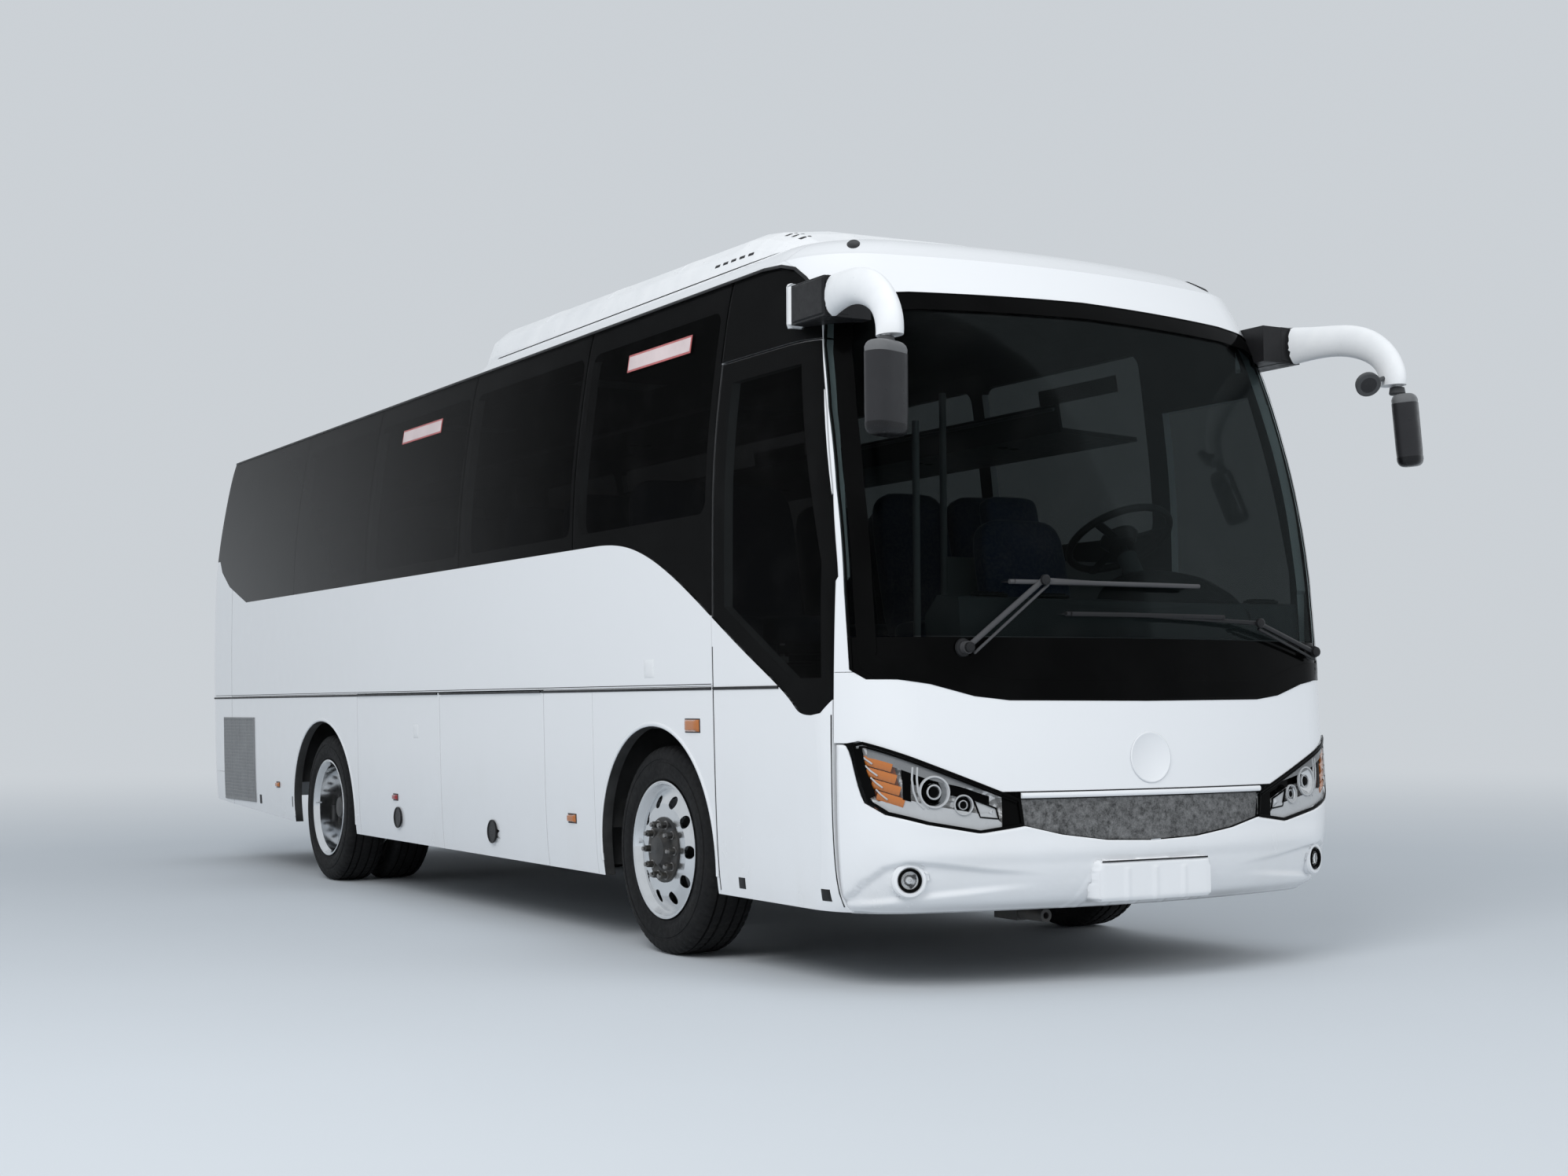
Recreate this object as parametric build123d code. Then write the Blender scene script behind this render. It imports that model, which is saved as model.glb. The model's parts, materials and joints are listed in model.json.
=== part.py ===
from build123d import *
import math
import os

# A nine metre midi coach, in millimetres. +Z is up, the nose points along -Y and the
# passenger door is on the -X side. The origin is on the ground, in the middle of the
# overall length. "Stations" are measured rearwards from the front axle.

# ---------------------------------------------------------------- driving dimensions
FRONT_AXLE_Y = -2621
WHEELBASE = 4640
TYRE_RADIUS = 452
TYRE_WIDTH = 250
RIM_RADIUS = 298
WHEEL_CENTRE_X = 1068
TWIN_SPACING = 300
DISC_OFFSET = 112
KINGPIN_X = 960

# Body sections: height, half width, nose station, tail station.
SIDE_SECTIONS = [
    (280, 1192, -1715, 7180),
    (360, 1204, -1795, 7225),
    (500, 1215, -1842, 7262),
    (900, 1229, -1838, 7282),
    (1180, 1235, -1815, 7288),
    (1540, 1240, -1780, 7286),
    (1880, 1238, -1725, 7278),
    (2200, 1222, -1645, 7258),
    (2540, 1182, -1535, 7215),
    (2700, 1158, -1462, 7188),
    (2866, 1122, -1364, 7150),
]
# Roof sections: height, half width of the dome, half width behind it, nose, tail.
ROOF_SECTIONS = [
    (2866, 1122, 1122, -1364, 7150),
    (2900, 1085, 1035, -1310, 7095),
    (2950, 1020, 905, -1220, 7010),
    (2985, 920, 800, -1100, 6890),
    (3010, 720, 640, -880, 6670),
    (3020, 400, 380, -500, 6310),
]
# The roof narrows between these stations, at the end of the pod.
ROOF_STEP = (2330, 2560)
# Plan radii: the bow across each end, and the corner that joins it to the side.
NOSE_RADII = (3600, 350)
TAIL_RADII = (9000, 80)
WALL = 50
GLASS = 8
RECESS = 10
GAP = 6

SILL_Z = 296
WAIST_Z = 1158
GUTTER_Z = 2866
GLASS_TOP = 2860
PANEL_TOP = 1198
HOOD_SEAM_Z = 745
CORNER_SEAM_Z = 930
TAIL_SPLIT = 6690

DOOR_FRONT = -1461
DOOR_REAR = -545
DOOR_TOP = 2500
DOOR_ARM = 460
BAY_DOORS = [(1190, 2590), (2590, 3960)]
ARCH_FRONT = (20, 545, 548)
ARCH_REAR = (4655, 605, 550)
ARCH_CENTRE_Z = 440
WINDOW_BAYS = [(-470, 800), (900, 2260), (2360, 3770), (3870, 5180), (5280, 6560)]
PANE_JOINTS = [-536, 850, 2310, 3820, 5230, 7400]
DRIVER_WINDOW = [
    (-600, 1440),
    (-600, 2440),
    (-1190, 2440),
    (-1390, 1640),
    (-1390, 1290),
    (-1100, 1290),
]
WINDOW_SILL = 1880
WINDOW_HEAD = 2740

FLOOR_Z = 1050
COCKPIT_Z = 1000
BAY_FLOOR_Z = 375
SEAT_PITCH = 745
SEAT_ROWS = 9
FIRST_SEAT = -60
HATCHES = {"front": 2750, "rear": 5000}
HATCH_HALF = 300
HATCH_LENGTH = 340
PLATE_HOLE_SPREAD = 290
PLATE_HOLE_RADIUS = 3.5
TOW_X = -370
TOW_FRONT_Z = 262
TOW_REAR_Z = 385
HINGE_RADIUS = 5.5
BOLTED_GAP = 0.5


# ---------------------------------------------------------------- small helpers
def station(distance):
    """Y of a point that lies this far behind the front axle."""
    return FRONT_AXLE_Y + distance


def block(x_range, stations, heights):
    """A box between two X values, two stations and two heights."""
    size = [abs(b - a) for a, b in (x_range, stations, heights)]
    centre = (sum(x_range) / 2, station(sum(stations) / 2), sum(heights) / 2)
    return Pos(*centre) * Box(*size)


def side_face(points):
    """A face in side view from (station, height) corners."""
    corners = [(station(s), z) for s, z in points]
    return Plane.YZ * make_face(Polyline(*corners, close=True))


def side_prism(points, x_from, x_to):
    return Pos(x_from, 0, 0) * extrude(side_face(points), x_to - x_from)


def front_prism(points, s_from, s_to):
    """A prism with its (x, height) outline in front view, between two stations."""
    face = Plane.XZ * make_face(Polyline(*points, close=True))
    return Pos(0, station(s_to), 0) * extrude(face, s_to - s_from)


def tube(path_points, radius):
    """A round bar along straight runs joined by rounded corners."""
    path = Wire([Line(a, b) for a, b in zip(path_points, path_points[1:])])
    start = Plane(origin=path_points[0], z_dir=Vector(*path_points[1]) - Vector(*path_points[0]))
    return sweep(start * Circle(radius), path=path, transition=Transition.ROUND)


def rod(start, end, radius):
    """A straight round bar between two points."""
    direction = Vector(*end) - Vector(*start)
    return extrude(Plane(origin=start, z_dir=direction) * Circle(radius), direction.length)


def join(shapes):
    """One shape from several that touch or overlap."""
    result = shapes[0]
    for shape in shapes[1:]:
        result = result + shape
    return result


def group(shapes):
    """Separate solids that share one node."""
    solids = [solid for shape in shapes for solid in shape.solids()]
    return Compound(children=solids)


def mirrored(shape):
    return mirror(shape, about=Plane.YZ)


def interpolate(table, height, column):
    """A value of the body sections at any height."""
    for low, high in zip(table, table[1:]):
        if low[0] <= height <= high[0]:
            share = (height - low[0]) / (high[0] - low[0])
            return low[column] + share * (high[column] - low[column])
    return table[0][column] if height < table[0][0] else table[-1][column]


def corner_centre(half, end, radii, toward):
    """Centre of a plan corner, whose arc touches the side and the bow."""
    bow, corner = radii
    across = half - corner
    along = math.sqrt((bow - corner) ** 2 - across**2)
    return across, end - toward * (bow - along)


def skin_y(x, height):
    """Y of the body's front face at a place given in front view."""
    half = interpolate(SIDE_SECTIONS, height, 1)
    nose = station(interpolate(SIDE_SECTIONS, height, 2))
    bow, corner = NOSE_RADII
    across, along = corner_centre(half, nose, NOSE_RADII, -1)
    if abs(x) < across * bow / (bow - corner):
        return nose + bow - math.sqrt(bow**2 - x**2)
    return along - math.sqrt(max(corner**2 - (abs(x) - across) ** 2, 0))


def side_x(height):
    """Half width of the body at a height."""
    return interpolate(SIDE_SECTIONS, height, 1)


# ---------------------------------------------------------------- body form
def end_arcs(half, end, radii, toward):
    """Corner, bow and corner across one end of a plan section.

    They run from the +X side to the -X side; toward is -1 for the nose, 1 for the tail."""
    bow, corner = radii
    centre = Vector(*corner_centre(half, end, radii, toward))
    bow_centre = Vector(0, end - toward * bow)
    to_bow = (centre - bow_centre).normalized()
    halfway = (to_bow + Vector(1, 0)).normalized()
    touch_side = centre + Vector(corner, 0)
    middle = centre + halfway * corner
    touch_bow = bow_centre + to_bow * bow
    tip = Vector(0, end)

    def flipped(point):
        return Vector(-point.X, point.Y)

    return [
        ThreePointArc(touch_side, middle, touch_bow),
        ThreePointArc(touch_bow, tip, flipped(touch_bow)),
        ThreePointArc(flipped(touch_bow), flipped(middle), flipped(touch_side)),
    ]


def side_run(start, end, bends):
    """Straight runs along one side, over any bends."""
    places = [start] + bends + [end]
    return [Line(a, b) for a, b in zip(places, places[1:])]


def plan_wire(halves, nose, tail, inset, height, step=()):
    """The closed outline of the body at one height.

    At the stations of the step it narrows from the first half width to the second."""
    nose_radii = [radius - inset for radius in NOSE_RADII]
    tail_radii = [radius - inset for radius in TAIL_RADII]
    drawn = [half - inset for half in halves]
    front = end_arcs(drawn[0], station(nose + inset), nose_radii, -1)
    rear = end_arcs(drawn[1], station(tail - inset), tail_radii, 1)
    bends = [(half, station(place)) for half, place in zip(drawn, step)]
    right = side_run(front[-1] @ 1, rear[-1] @ 1, [Vector(-x, y) for x, y in bends])
    left = side_run(rear[0] @ 0, front[0] @ 0, [Vector(x, y) for x, y in reversed(bends)])
    return Pos(0, 0, height) * Wire(front + right + rear[::-1] + left)


def body_form(inset):
    """The closed outer form of the body, drawn in by an even inset."""
    lower = []
    for height, half, nose, tail in SIDE_SECTIONS:
        level = height - inset if height == GUTTER_Z else height
        lower.append(plan_wire((half, half), nose, tail, inset, level))
    upper = []
    for height, front, rear, nose, tail in ROOF_SECTIONS:
        upper.append(plan_wire((front, rear), nose, tail, inset, height - inset, ROOF_STEP))
    return Solid.make_loft(lower) + Solid.make_loft(upper)


def sill_cut():
    """Everything below the sill, which rises towards the tail."""
    return side_prism(
        [(-2200, 100), (-2200, SILL_Z), (4900, 320), (6750, 400), (7300, 432), (7300, 100)],
        -1500,
        1500,
    )


def layer(inset, thickness):
    """A skin of even thickness, drawn in from the outer form by an inset."""
    return body_form(inset) - body_form(inset + thickness) - sill_cut()


OUTER = body_form(0)
CORE = body_form(WALL)
SHELL = layer(0, WALL)
GLASS_LAYER = layer(0, GLASS)
RECESS_LAYER = layer(0, RECESS)
APRON_LAYER = layer(0, 30)


# ---------------------------------------------------------------- side outlines
def swoosh():
    """The curve by which the lower edge of the side glass falls to the door."""
    points = [(600, 1812), (230, 1780), (-330, 1560), (-875, 1262), (-1200, 1078), (-1330, 1038)]
    places = [(station(s), z) for s, z in points]
    return places, Spline(*places, tangents=[(-1, 0), (-1, 0)])


def glass_outline():
    """Side view of everything that is behind black glass."""
    places, curve = swoosh()
    corners = [
        (-1395, 1046),
        (DOOR_FRONT - 20, 1112),
        (-1500, 1560),
        (-1260, 2593),
        (-1190, 2700),
        (-1107, 2773),
        (-1037, 2821),
        (-941, 2847),
        (-830, GLASS_TOP),
        (7400, GLASS_TOP),
        (7400, 2140),
        (7060, 2140),
        (6986, 2058),
        (6773, 1943),
        (6336, 1812),
    ]
    rest = [places[-1]] + [(station(s), z) for s, z in corners] + [places[0]]
    return Plane.YZ * make_face([curve, Polyline(*rest)])


def glass_zone(low_x, high_x):
    """Where one side of the body is glazed; behind the tail corner it stops short."""
    zone = Pos(low_x, 0, 0) * extrude(glass_outline(), high_x - low_x)
    return zone - block((-1080, 1080), (7000, 7500), (1500, 3000))


# Front edge of the passenger door, and on up the pillar: (station, height).
DOOR_EDGE = [
    (DOOR_FRONT, 200),
    (DOOR_FRONT, 1545),
    (-1470, 1560),
    (-1464, 1617),
    (-1422, 1909),
    (-1355, 2207),
    (-1269, DOOR_TOP),
]
PILLAR_TOP = [(-1238, 2593), (-1176, 2690), (-1108, 2773), (-1038, 2821), (-960, GUTTER_Z)]


def door_outline(gap):
    """Corners of the passenger door in side view, grown by a gap."""
    front = [(s - gap, z + gap if z == DOOR_TOP else z) for s, z in DOOR_EDGE]
    return front + [(DOOR_REAR + gap, DOOR_TOP + gap), (DOOR_REAR + gap, 200)]


def arch_cut(arch):
    """Opening of a wheel arch, through both sides of the body."""
    centre, half_length, rise = arch
    ellipse = Plane.YZ * Pos(station(centre), ARCH_CENTRE_Z) * Ellipse(half_length, rise)
    upper = Pos(-1500, 0, 0) * extrude(ellipse, 3000)
    legs = block((-1500, 1500), (centre - half_length, centre + half_length), (100, ARCH_CENTRE_Z))
    return upper + legs


def window_holes(bays, x_from, x_to):
    holes = []
    for first, last in bays:
        centre = Pos(station((first + last) / 2), (WINDOW_SILL + WINDOW_HEAD) / 2)
        frame = RectangleRounded(last - first, WINDOW_HEAD - WINDOW_SILL, 60)
        holes.append(Pos(x_from, 0, 0) * extrude(Plane.YZ * centre * frame, x_to - x_from))
    return holes


# ---------------------------------------------------------------- side walls
def upper_wall(side):
    """The wall above the waist, rebated for its glass, with its windows cut."""
    if side == "right":
        low, high = -1400, 0
        wall = SHELL & block((low, high), (DOOR_REAR + 3, TAIL_SPLIT), (WAIST_Z, GUTTER_Z))
        header = SHELL & block((low, high), (-1600, DOOR_REAR + 3), (DOOR_TOP + GAP, GUTTER_Z))
        wall = wall + (header - front_frame_zone())
    else:
        low, high = 0, 1400
        wall = SHELL & block((low, high), (-1700, TAIL_SPLIT), (WAIST_Z, GUTTER_Z))
        wall = wall - front_frame_zone() - side_prism(DRIVER_WINDOW, 800, high)
    wall = wall - (glass_zone(low, high) & RECESS_LAYER)
    for hole in window_holes(WINDOW_BAYS, low, high):
        wall = wall - hole
    return wall


def lower_panel(first, last, side, top=WAIST_Z - 2):
    x_range = (-1400, 0) if side == "right" else (0, 1400)
    panel = SHELL & block(x_range, (first, last), (100, top))
    return panel - arch_cut(ARCH_FRONT) - arch_cut(ARCH_REAR)


def fixed_lower_panels(side):
    """Skirt panels between the doors, with the wheel arches cut."""
    spans = [(DOOR_REAR + 3, 630), (633, 1190 - 3), (3960 + 3, TAIL_SPLIT)]
    if side == "left":
        spans[0] = (DOOR_FRONT, 630)
    return group([lower_panel(first, last, side) for first, last in spans])


# Luggage door hinges: a bar just outside the top edge of each door.
HINGE_X = 1241
HINGE_Z = 1147
LATCHES = {"front": (1870, 440), "rear": (3275, 450)}


def luggage_door(name, bay, side):
    """A door of the luggage bay with its hinge bar and its oval latch."""
    first, last = bay
    sign = -1 if side == "right" else 1
    panel = lower_panel(first + 3, last - 3, side, WAIST_Z - GAP)
    x = sign * HINGE_X
    bar = bar_along(x, HINGE_Z, first + 20, last - 20, HINGE_RADIUS)
    leaf = block((x, x - sign * 14), (first + 20, last - 20), (HINGE_Z - 4, HINGE_Z + 4))
    place, height = LATCHES[name]
    face = sign * side_x(height)
    boss = Pos(face, station(place), height) * Rot(0, 90, 0) * extrude(Ellipse(50, 30), 8, both=True)
    return panel + bar + leaf + boss


def side_glass(side):
    """The side panes, flush in the recess, and the glass over the door."""
    low, high = (-1400, -700) if side == "right" else (700, 1400)
    zone = GLASS_LAYER & glass_zone(low, high)
    panes = []
    for first, last in zip(PANE_JOINTS, PANE_JOINTS[1:]):
        panes.append(zone & block((low, high), (first + 3, last - 3), (1000, GLASS_TOP)))
    if side == "right":
        ahead = block((low, high), (-1600, PANE_JOINTS[0] - 3), (DOOR_TOP + GAP, GLASS_TOP))
    else:
        ahead = block((low, high), (-1600, PANE_JOINTS[0] - 3), (WAIST_Z + 3, GLASS_TOP))
    panes.append((zone & ahead) - front_frame_zone())
    return group(panes)


# ---------------------------------------------------------------- nose
def windscreen_outline(grow):
    """Half of the windscreen in front view, to be mirrored."""
    return [
        (0, 1092 - grow),
        (620, 1096 - grow),
        (760, 1112 - grow),
        (930, 1158 - grow),
        (1050, 1176 - grow),
        (1140 + grow, 1176 - grow),
        (1178 + grow, 1208),
        (1181 + grow, 1500),
        (1176 + grow, 1900),
        (1161 + grow, 2215),
        (1136 + grow, 2470),
        (1112 + grow, 2590),
        (1058 + grow, 2650 + grow),
        (975, 2680 + grow),
        (800, 2696 + grow),
        (0, 2712 + grow),
    ]


def windscreen_zone(grow):
    half = windscreen_outline(grow)
    other = [(-x, z) for x, z in reversed(half[1:-1])]
    return front_prism(half + other, -2200, -900)


def front_frame_zone():
    """Side view of the nose frame: dome and pillars, ahead of the doors and side walls."""
    edge = [(s - GAP, z) for s, z in DOOR_EDGE + PILLAR_TOP[:-1]] + [PILLAR_TOP[-1]]
    edge[0] = (edge[0][0], 100)
    return side_prism(edge + [(-960, 3100), (-2200, 3100), (-2200, 100)], -1500, 1500)


def front_dome():
    """White dome over the windscreen with both pillars beside it."""
    frame = SHELL & front_frame_zone() & block((-1400, 1400), (-2200, 0), (PANEL_TOP + 2, 3100))
    frame = frame - windscreen_zone(3)
    return frame


def windscreen():
    zone = GLASS_LAYER & windscreen_zone(0)
    return zone & front_frame_zone() & block((-1400, 1400), (-2200, -900), (1334, 2800))


def windscreen_mask():
    """Black glossy apron between the windscreen and the front panel."""
    zone = APRON_LAYER & windscreen_zone(0)
    return zone & front_frame_zone() & block((-1400, 1400), (-2200, -900), (1000, 1330))


LAMP_OUTLINE = [
    (598, 720),
    (586, 622),
    (760, 598),
    (960, 634),
    (1098, 672),
    (1152, 716),
    (1177, 830),
    (1188, 932),
    (1163, 940),
]


def lamp_prism(grow, sign):
    centre = (880, 760)
    points = []
    for x, z in LAMP_OUTLINE:
        reach = math.hypot(x - centre[0], z - centre[1])
        scale = (reach + grow) / reach
        points.append((sign * (centre[0] + (x - centre[0]) * scale), centre[1] + (z - centre[1]) * scale))
    return front_prism(points, -2200, -1300)


GRILLE_OUTLINE = [
    (-588, 718),
    (-576, 622),
    (-420, 586),
    (-220, 560),
    (0, 552),
    (220, 560),
    (420, 586),
    (576, 622),
    (588, 718),
]


def grille_prism(grow):
    points = [(x * (1 + grow / 588), z + grow * (1 if z > 700 else -1)) for x, z in GRILLE_OUTLINE]
    return front_prism(points, -2200, -1300)


def grille_strip():
    return Pos(0, 8, 0) * (APRON_LAYER & grille_prism(0))


def front_panel():
    """White panel between the windscreen apron and the bumper."""
    panel = SHELL & front_frame_zone() & block((-1400, 1400), (-2200, 0), (400, PANEL_TOP))
    panel = panel - windscreen_zone(3) - bumper_zone(4)
    for sign in (-1, 1):
        panel = panel - lamp_prism(4, sign)
    return panel


def bumper_zone(grow):
    """Front view of the bumper, whose outer ends rise beside the lamps."""
    ends = (1150 - grow, CORNER_SEAM_Z + grow)
    step = HOOD_SEAM_Z + grow
    half = [(ends[0], step), ends, (1400, ends[1]), (1400, 100)]
    return front_prism([(-x, z) for x, z in reversed(half)] + half, -2200, -1300)


def front_bumper():
    bumper = SHELL & front_frame_zone() & bumper_zone(0)
    bumper = bumper - grille_prism(3)
    for sign in (-1, 1):
        bumper = bumper - lamp_prism(4, sign)
        bumper = bumper - fog_lamp_pocket(sign)
    pad = block((-270, 270), (-1856, -1800), (330, 470))
    bumper = bumper + (pad - CORE)
    for hole in plate_holes(-1900, -1700, 400):
        bumper = bumper - hole
    return bumper


def bar_along(x, z, first, last, radius):
    """A round bar along the bus between two stations."""
    return rod((x, station(first), z), (x, station(last), z), radius)


def plate_holes(first, last, height):
    """The two fixing holes of a number plate, at one end of the body."""
    half = PLATE_HOLE_SPREAD / 2
    return [bar_along(sign * half, height, first, last, PLATE_HOLE_RADIUS) for sign in (-1, 1)]


FOG_LAMP = (1022, 427)


def fog_lamp_pocket(sign):
    x, z = FOG_LAMP
    centre = Plane(origin=(sign * x, skin_y(x, z) - 60, z), z_dir=(0, 1, 0))
    return extrude(centre * Circle(58), 200)


def front_lamps():
    """Headlamp units and the round fog lamps below them."""
    lamps = [SHELL & lamp_prism(0, sign) & front_frame_zone() for sign in (-1, 1)]
    x, z = FOG_LAMP
    for sign in (-1, 1):
        centre = Plane(origin=(sign * x, skin_y(x, z) + 12, z), z_dir=(0, 1, 0))
        lamps.append(extrude(centre * Circle(54), 45))
    return group(lamps)


# ---------------------------------------------------------------- roof and tail
def roof():
    """Crowned roof skin with a curb round each hatch opening."""
    top = SHELL & block((-1400, 1400), (-957, 7400), (GUTTER_Z, 3100))
    for first in HATCHES.values():
        last = first + HATCH_LENGTH
        curb = block((-290, 290), (first + 10, last - 10), (2985, 3040))
        hole = block((-260, 260), (first + 40, last - 40), (2900, 3100))
        top = (top + curb) - hole
    return top


def cross_bar(half, place, height, radius):
    """A round bar across the bus."""
    return rod((-half, station(place), height), (half, station(place), height), radius)


def roof_hatch(first):
    """A flat lid that lies just over its curb, with its hinge bar."""
    lid = block((-HATCH_HALF, HATCH_HALF), (first, first + HATCH_LENGTH), (3046, 3072))
    lid = chamfer(lid.faces().sort_by(Axis.Z)[-1].edges(), 12)
    return lid + cross_bar(220, first - 3, 3053, 6)


# Half of the pod's section, and how far it is lifted at each station.
POD_SECTION = [(0, 3178), (600, 3166), (820, 3138), (905, 3100), (965, 3046), (1000, 2950)]
POD_LIFTS = [
    (-900, -195),
    (-760, -130),
    (-600, -60),
    (-450, -20),
    (-300, 0),
    (2390, 30),
    (2470, 20),
    (2530, -30),
    (2550, -200),
]
# Stations of the drain gap under the pod's rear end.
POD_DRAIN = (2420, 2600)


def roof_air_conditioner():
    """Long low pod that rises from the dome and ends with a short slope."""
    section = POD_SECTION + [(1000, 2900), (0, 2900)]
    right = [(-x, z) for x, z in reversed(section[1:-1])]
    wires = []
    for place, lift in POD_LIFTS:
        corners = [(x, station(place), z + lift) for x, z in section + right]
        wires.append(Wire(Polyline(*corners, close=True).edges()))
    pod = Solid.make_loft(wires, ruled=True) - body_form(-3)
    return pod - block((-480, 480), POD_DRAIN, (2900, 3046))


TAIL_HINGE = (7288, 1494)


def rear_outline(gap):
    return [
        (-820 - gap, 640 - gap),
        (820 + gap, 640 - gap),
        (820 + gap, 1500 + gap),
        (-820 - gap, 1500 + gap),
    ]


def rear_panel():
    panel = SHELL & block((-1400, 1400), (TAIL_SPLIT + 3, 7400), (200, GUTTER_Z - 2))
    panel = panel - front_prism(rear_outline(GAP), 6800, 7400)
    panel = panel - rear_bumper_zone(3)
    for side in ((-1400, -700), (700, 1400)):
        panel = panel - (glass_zone(*side) & RECESS_LAYER)
    panel = panel - (front_prism(rear_glass_outline(4), 6800, 7400) & RECESS_LAYER)
    panel = panel - front_prism(rear_glass_outline(-70), 6800, 7400)
    for sign in (-1, 1):
        panel = panel - rear_lamp_prism(sign, 4)
    return panel


def rear_glass_outline(grow):
    return [
        (-930 - grow, 1700 - grow),
        (930 + grow, 1700 - grow),
        (930 + grow, 2700 + grow),
        (-930 - grow, 2700 + grow),
    ]


def rear_window():
    return GLASS_LAYER & front_prism(rear_glass_outline(0), 6800, 7400)


def rear_bumper_zone(grow):
    return block((-1400, 1400), (6790 - grow, 7400), (100, 620 + grow))


def rear_bumper():
    bumper = SHELL & rear_bumper_zone(0)
    pad = block((-270, 270), (7180, 7280), (440, 580))
    bumper = bumper + (pad - CORE)
    for hole in plate_holes(7100, 7350, 510):
        bumper = bumper - hole
    return bumper


def engine_hatch():
    """The lid over the engine with its hinge bar along the top edge."""
    lid = SHELL & front_prism(rear_outline(0), 6800, 7400)
    place, height = TAIL_HINGE
    leaf = block((-300, 300), (place - 20, place), (height - 4, height + 4))
    return lid + leaf + cross_bar(300, place, height, HINGE_RADIUS)


def rear_lamp_prism(sign, grow):
    low, high = 760 - grow, 1420 + grow
    inner, outer = 880 - grow, 1090 + grow
    points = [(sign * inner, low), (sign * outer, low), (sign * outer, high), (sign * inner, high)]
    return front_prism(points, 6800, 7400)


def rear_lamps():
    return group([SHELL & rear_lamp_prism(sign, 0) for sign in (-1, 1)])


# ---------------------------------------------------------------- passenger door
DOOR_PIVOT = (-1092, station(-1340))
DOOR_ARM_HEIGHTS = (560, 1300)
DOOR_POST = (391, 1340)


def door_leaf():
    leaf = SHELL & side_prism(door_outline(0), -1400, -800)
    leaf = leaf - (glass_zone(-1400, 0) & RECESS_LAYER)
    window = side_prism(
        [(-640, 1480), (-640, 2410), (-1190, 2410), (-1390, 1620), (-1390, 1180), (-1180, 1180)],
        -1400,
        -800,
    )
    leaf = leaf - window
    for height in DOOR_ARM_HEIGHTS:
        x = DOOR_PIVOT[0]
        y = DOOR_PIVOT[1] + DOOR_ARM
        lug = Pos(x - 45, y, height - 40) * Box(110, 60, 24)
        bolt = Pos(x, y, height - 5) * Cylinder(12, 60)
        leaf = leaf + (lug & CORE) + bolt + rail_stub(x, y, height)
    return leaf


def rail_stub(x, y, height):
    """Bracket that ties a door arm's pivot to the leaf."""
    reach = side_x(height) - 30
    return Pos((x - reach) / 2, y, height - 40) * Box(reach + x + 20, 60, 24)


def door_glass():
    pane = GLASS_LAYER & glass_zone(-1400, -700) & side_prism(door_outline(-3), -1400, -800)
    return pane


def door_arm():
    """Upright post with two swan-neck arms that carry the leaf."""
    x, y = DOOR_PIVOT
    parts = [rod((x, y, DOOR_POST[0]), (x, y, DOOR_POST[1]), 24)]
    for height in DOOR_ARM_HEIGHTS:
        points = [
            (x, y, height),
            (x + 150, y + 70, height),
            (x + 160, y + 190, height),
            (x + 60, y + 380, height),
            (x, y + DOOR_ARM, height),
        ]
        parts.append(tube(points, 15))
        eye = Pos(x, y + DOOR_ARM, height) * (Cylinder(26, 34) - Cylinder(12.05, 40))
        parts[-1] = (parts[-1] - Pos(x, y + DOOR_ARM, height) * Cylinder(20, 34)) + eye
    return join(parts)


# ---------------------------------------------------------------- floors and frame
CROSS_MEMBERS = (-1200, 700, 1900, 3100, 4000, 5250)
STAIR_WELL = (-1392, -562)
STAIR_EDGE = 415


def chassis_frame():
    """Two long rails with bolted cross members, and a towing socket at each end."""
    rails = [block((sign * 330, sign * 410), (-1350, 6500), (560, 760)) for sign in (-1, 1)]
    half = 330 - BOLTED_GAP
    crosses = [block((-half, half), (s, s + 90), (600, 720)) for s in CROSS_MEMBERS]
    brackets = [
        block((-400, -340), (-1500, -1350 - BOLTED_GAP), (TOW_FRONT_Z - 30, 760)),
        block((-400, -340), (6500 + BOLTED_GAP, 6600), (TOW_REAR_Z - 30, 760)),
    ]
    sockets = [
        tow_socket(-1650, -1500 - BOLTED_GAP, TOW_FRONT_Z, -1),
        tow_socket(6600 + BOLTED_GAP, 7150, TOW_REAR_Z, 1),
    ]
    return group(rails + crosses + brackets + sockets)


def tow_socket(first, last, height, toward):
    """Round bar with a threaded blind hole in the end that faces out of the bus."""
    bar = bar_along(TOW_X, height, first, last, 26)
    end = first if toward < 0 else last
    inner, outer = sorted((end - toward * 90, end + toward * 10))
    return bar - bar_along(TOW_X, height, inner, outer, 13)


def entrance_steps():
    """Stair from the doorway up to the cockpit floor, hollow beneath."""
    edge = -STAIR_EDGE
    outline = [(-1150, 345), (-1150, 385), (-900, 385), (-900, 590), (-670, 590), (-670, 795)]
    outline += [(edge - 30, 795), (edge - 30, COCKPIT_Z), (edge, COCKPIT_Z), (edge, 755)]
    outline += [(-640, 755), (-640, 550), (-870, 550), (-870, 345)]
    stair = front_prism(outline, *STAIR_WELL)
    cheeks = [
        block((-1150, edge), (STAIR_WELL[0] - 14, STAIR_WELL[0]), (345, COCKPIT_Z)),
        block((-1150, edge), (STAIR_WELL[1], STAIR_WELL[1] + 20), (345, COCKPIT_Z)),
    ]
    return [stair] + cheeks


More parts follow.
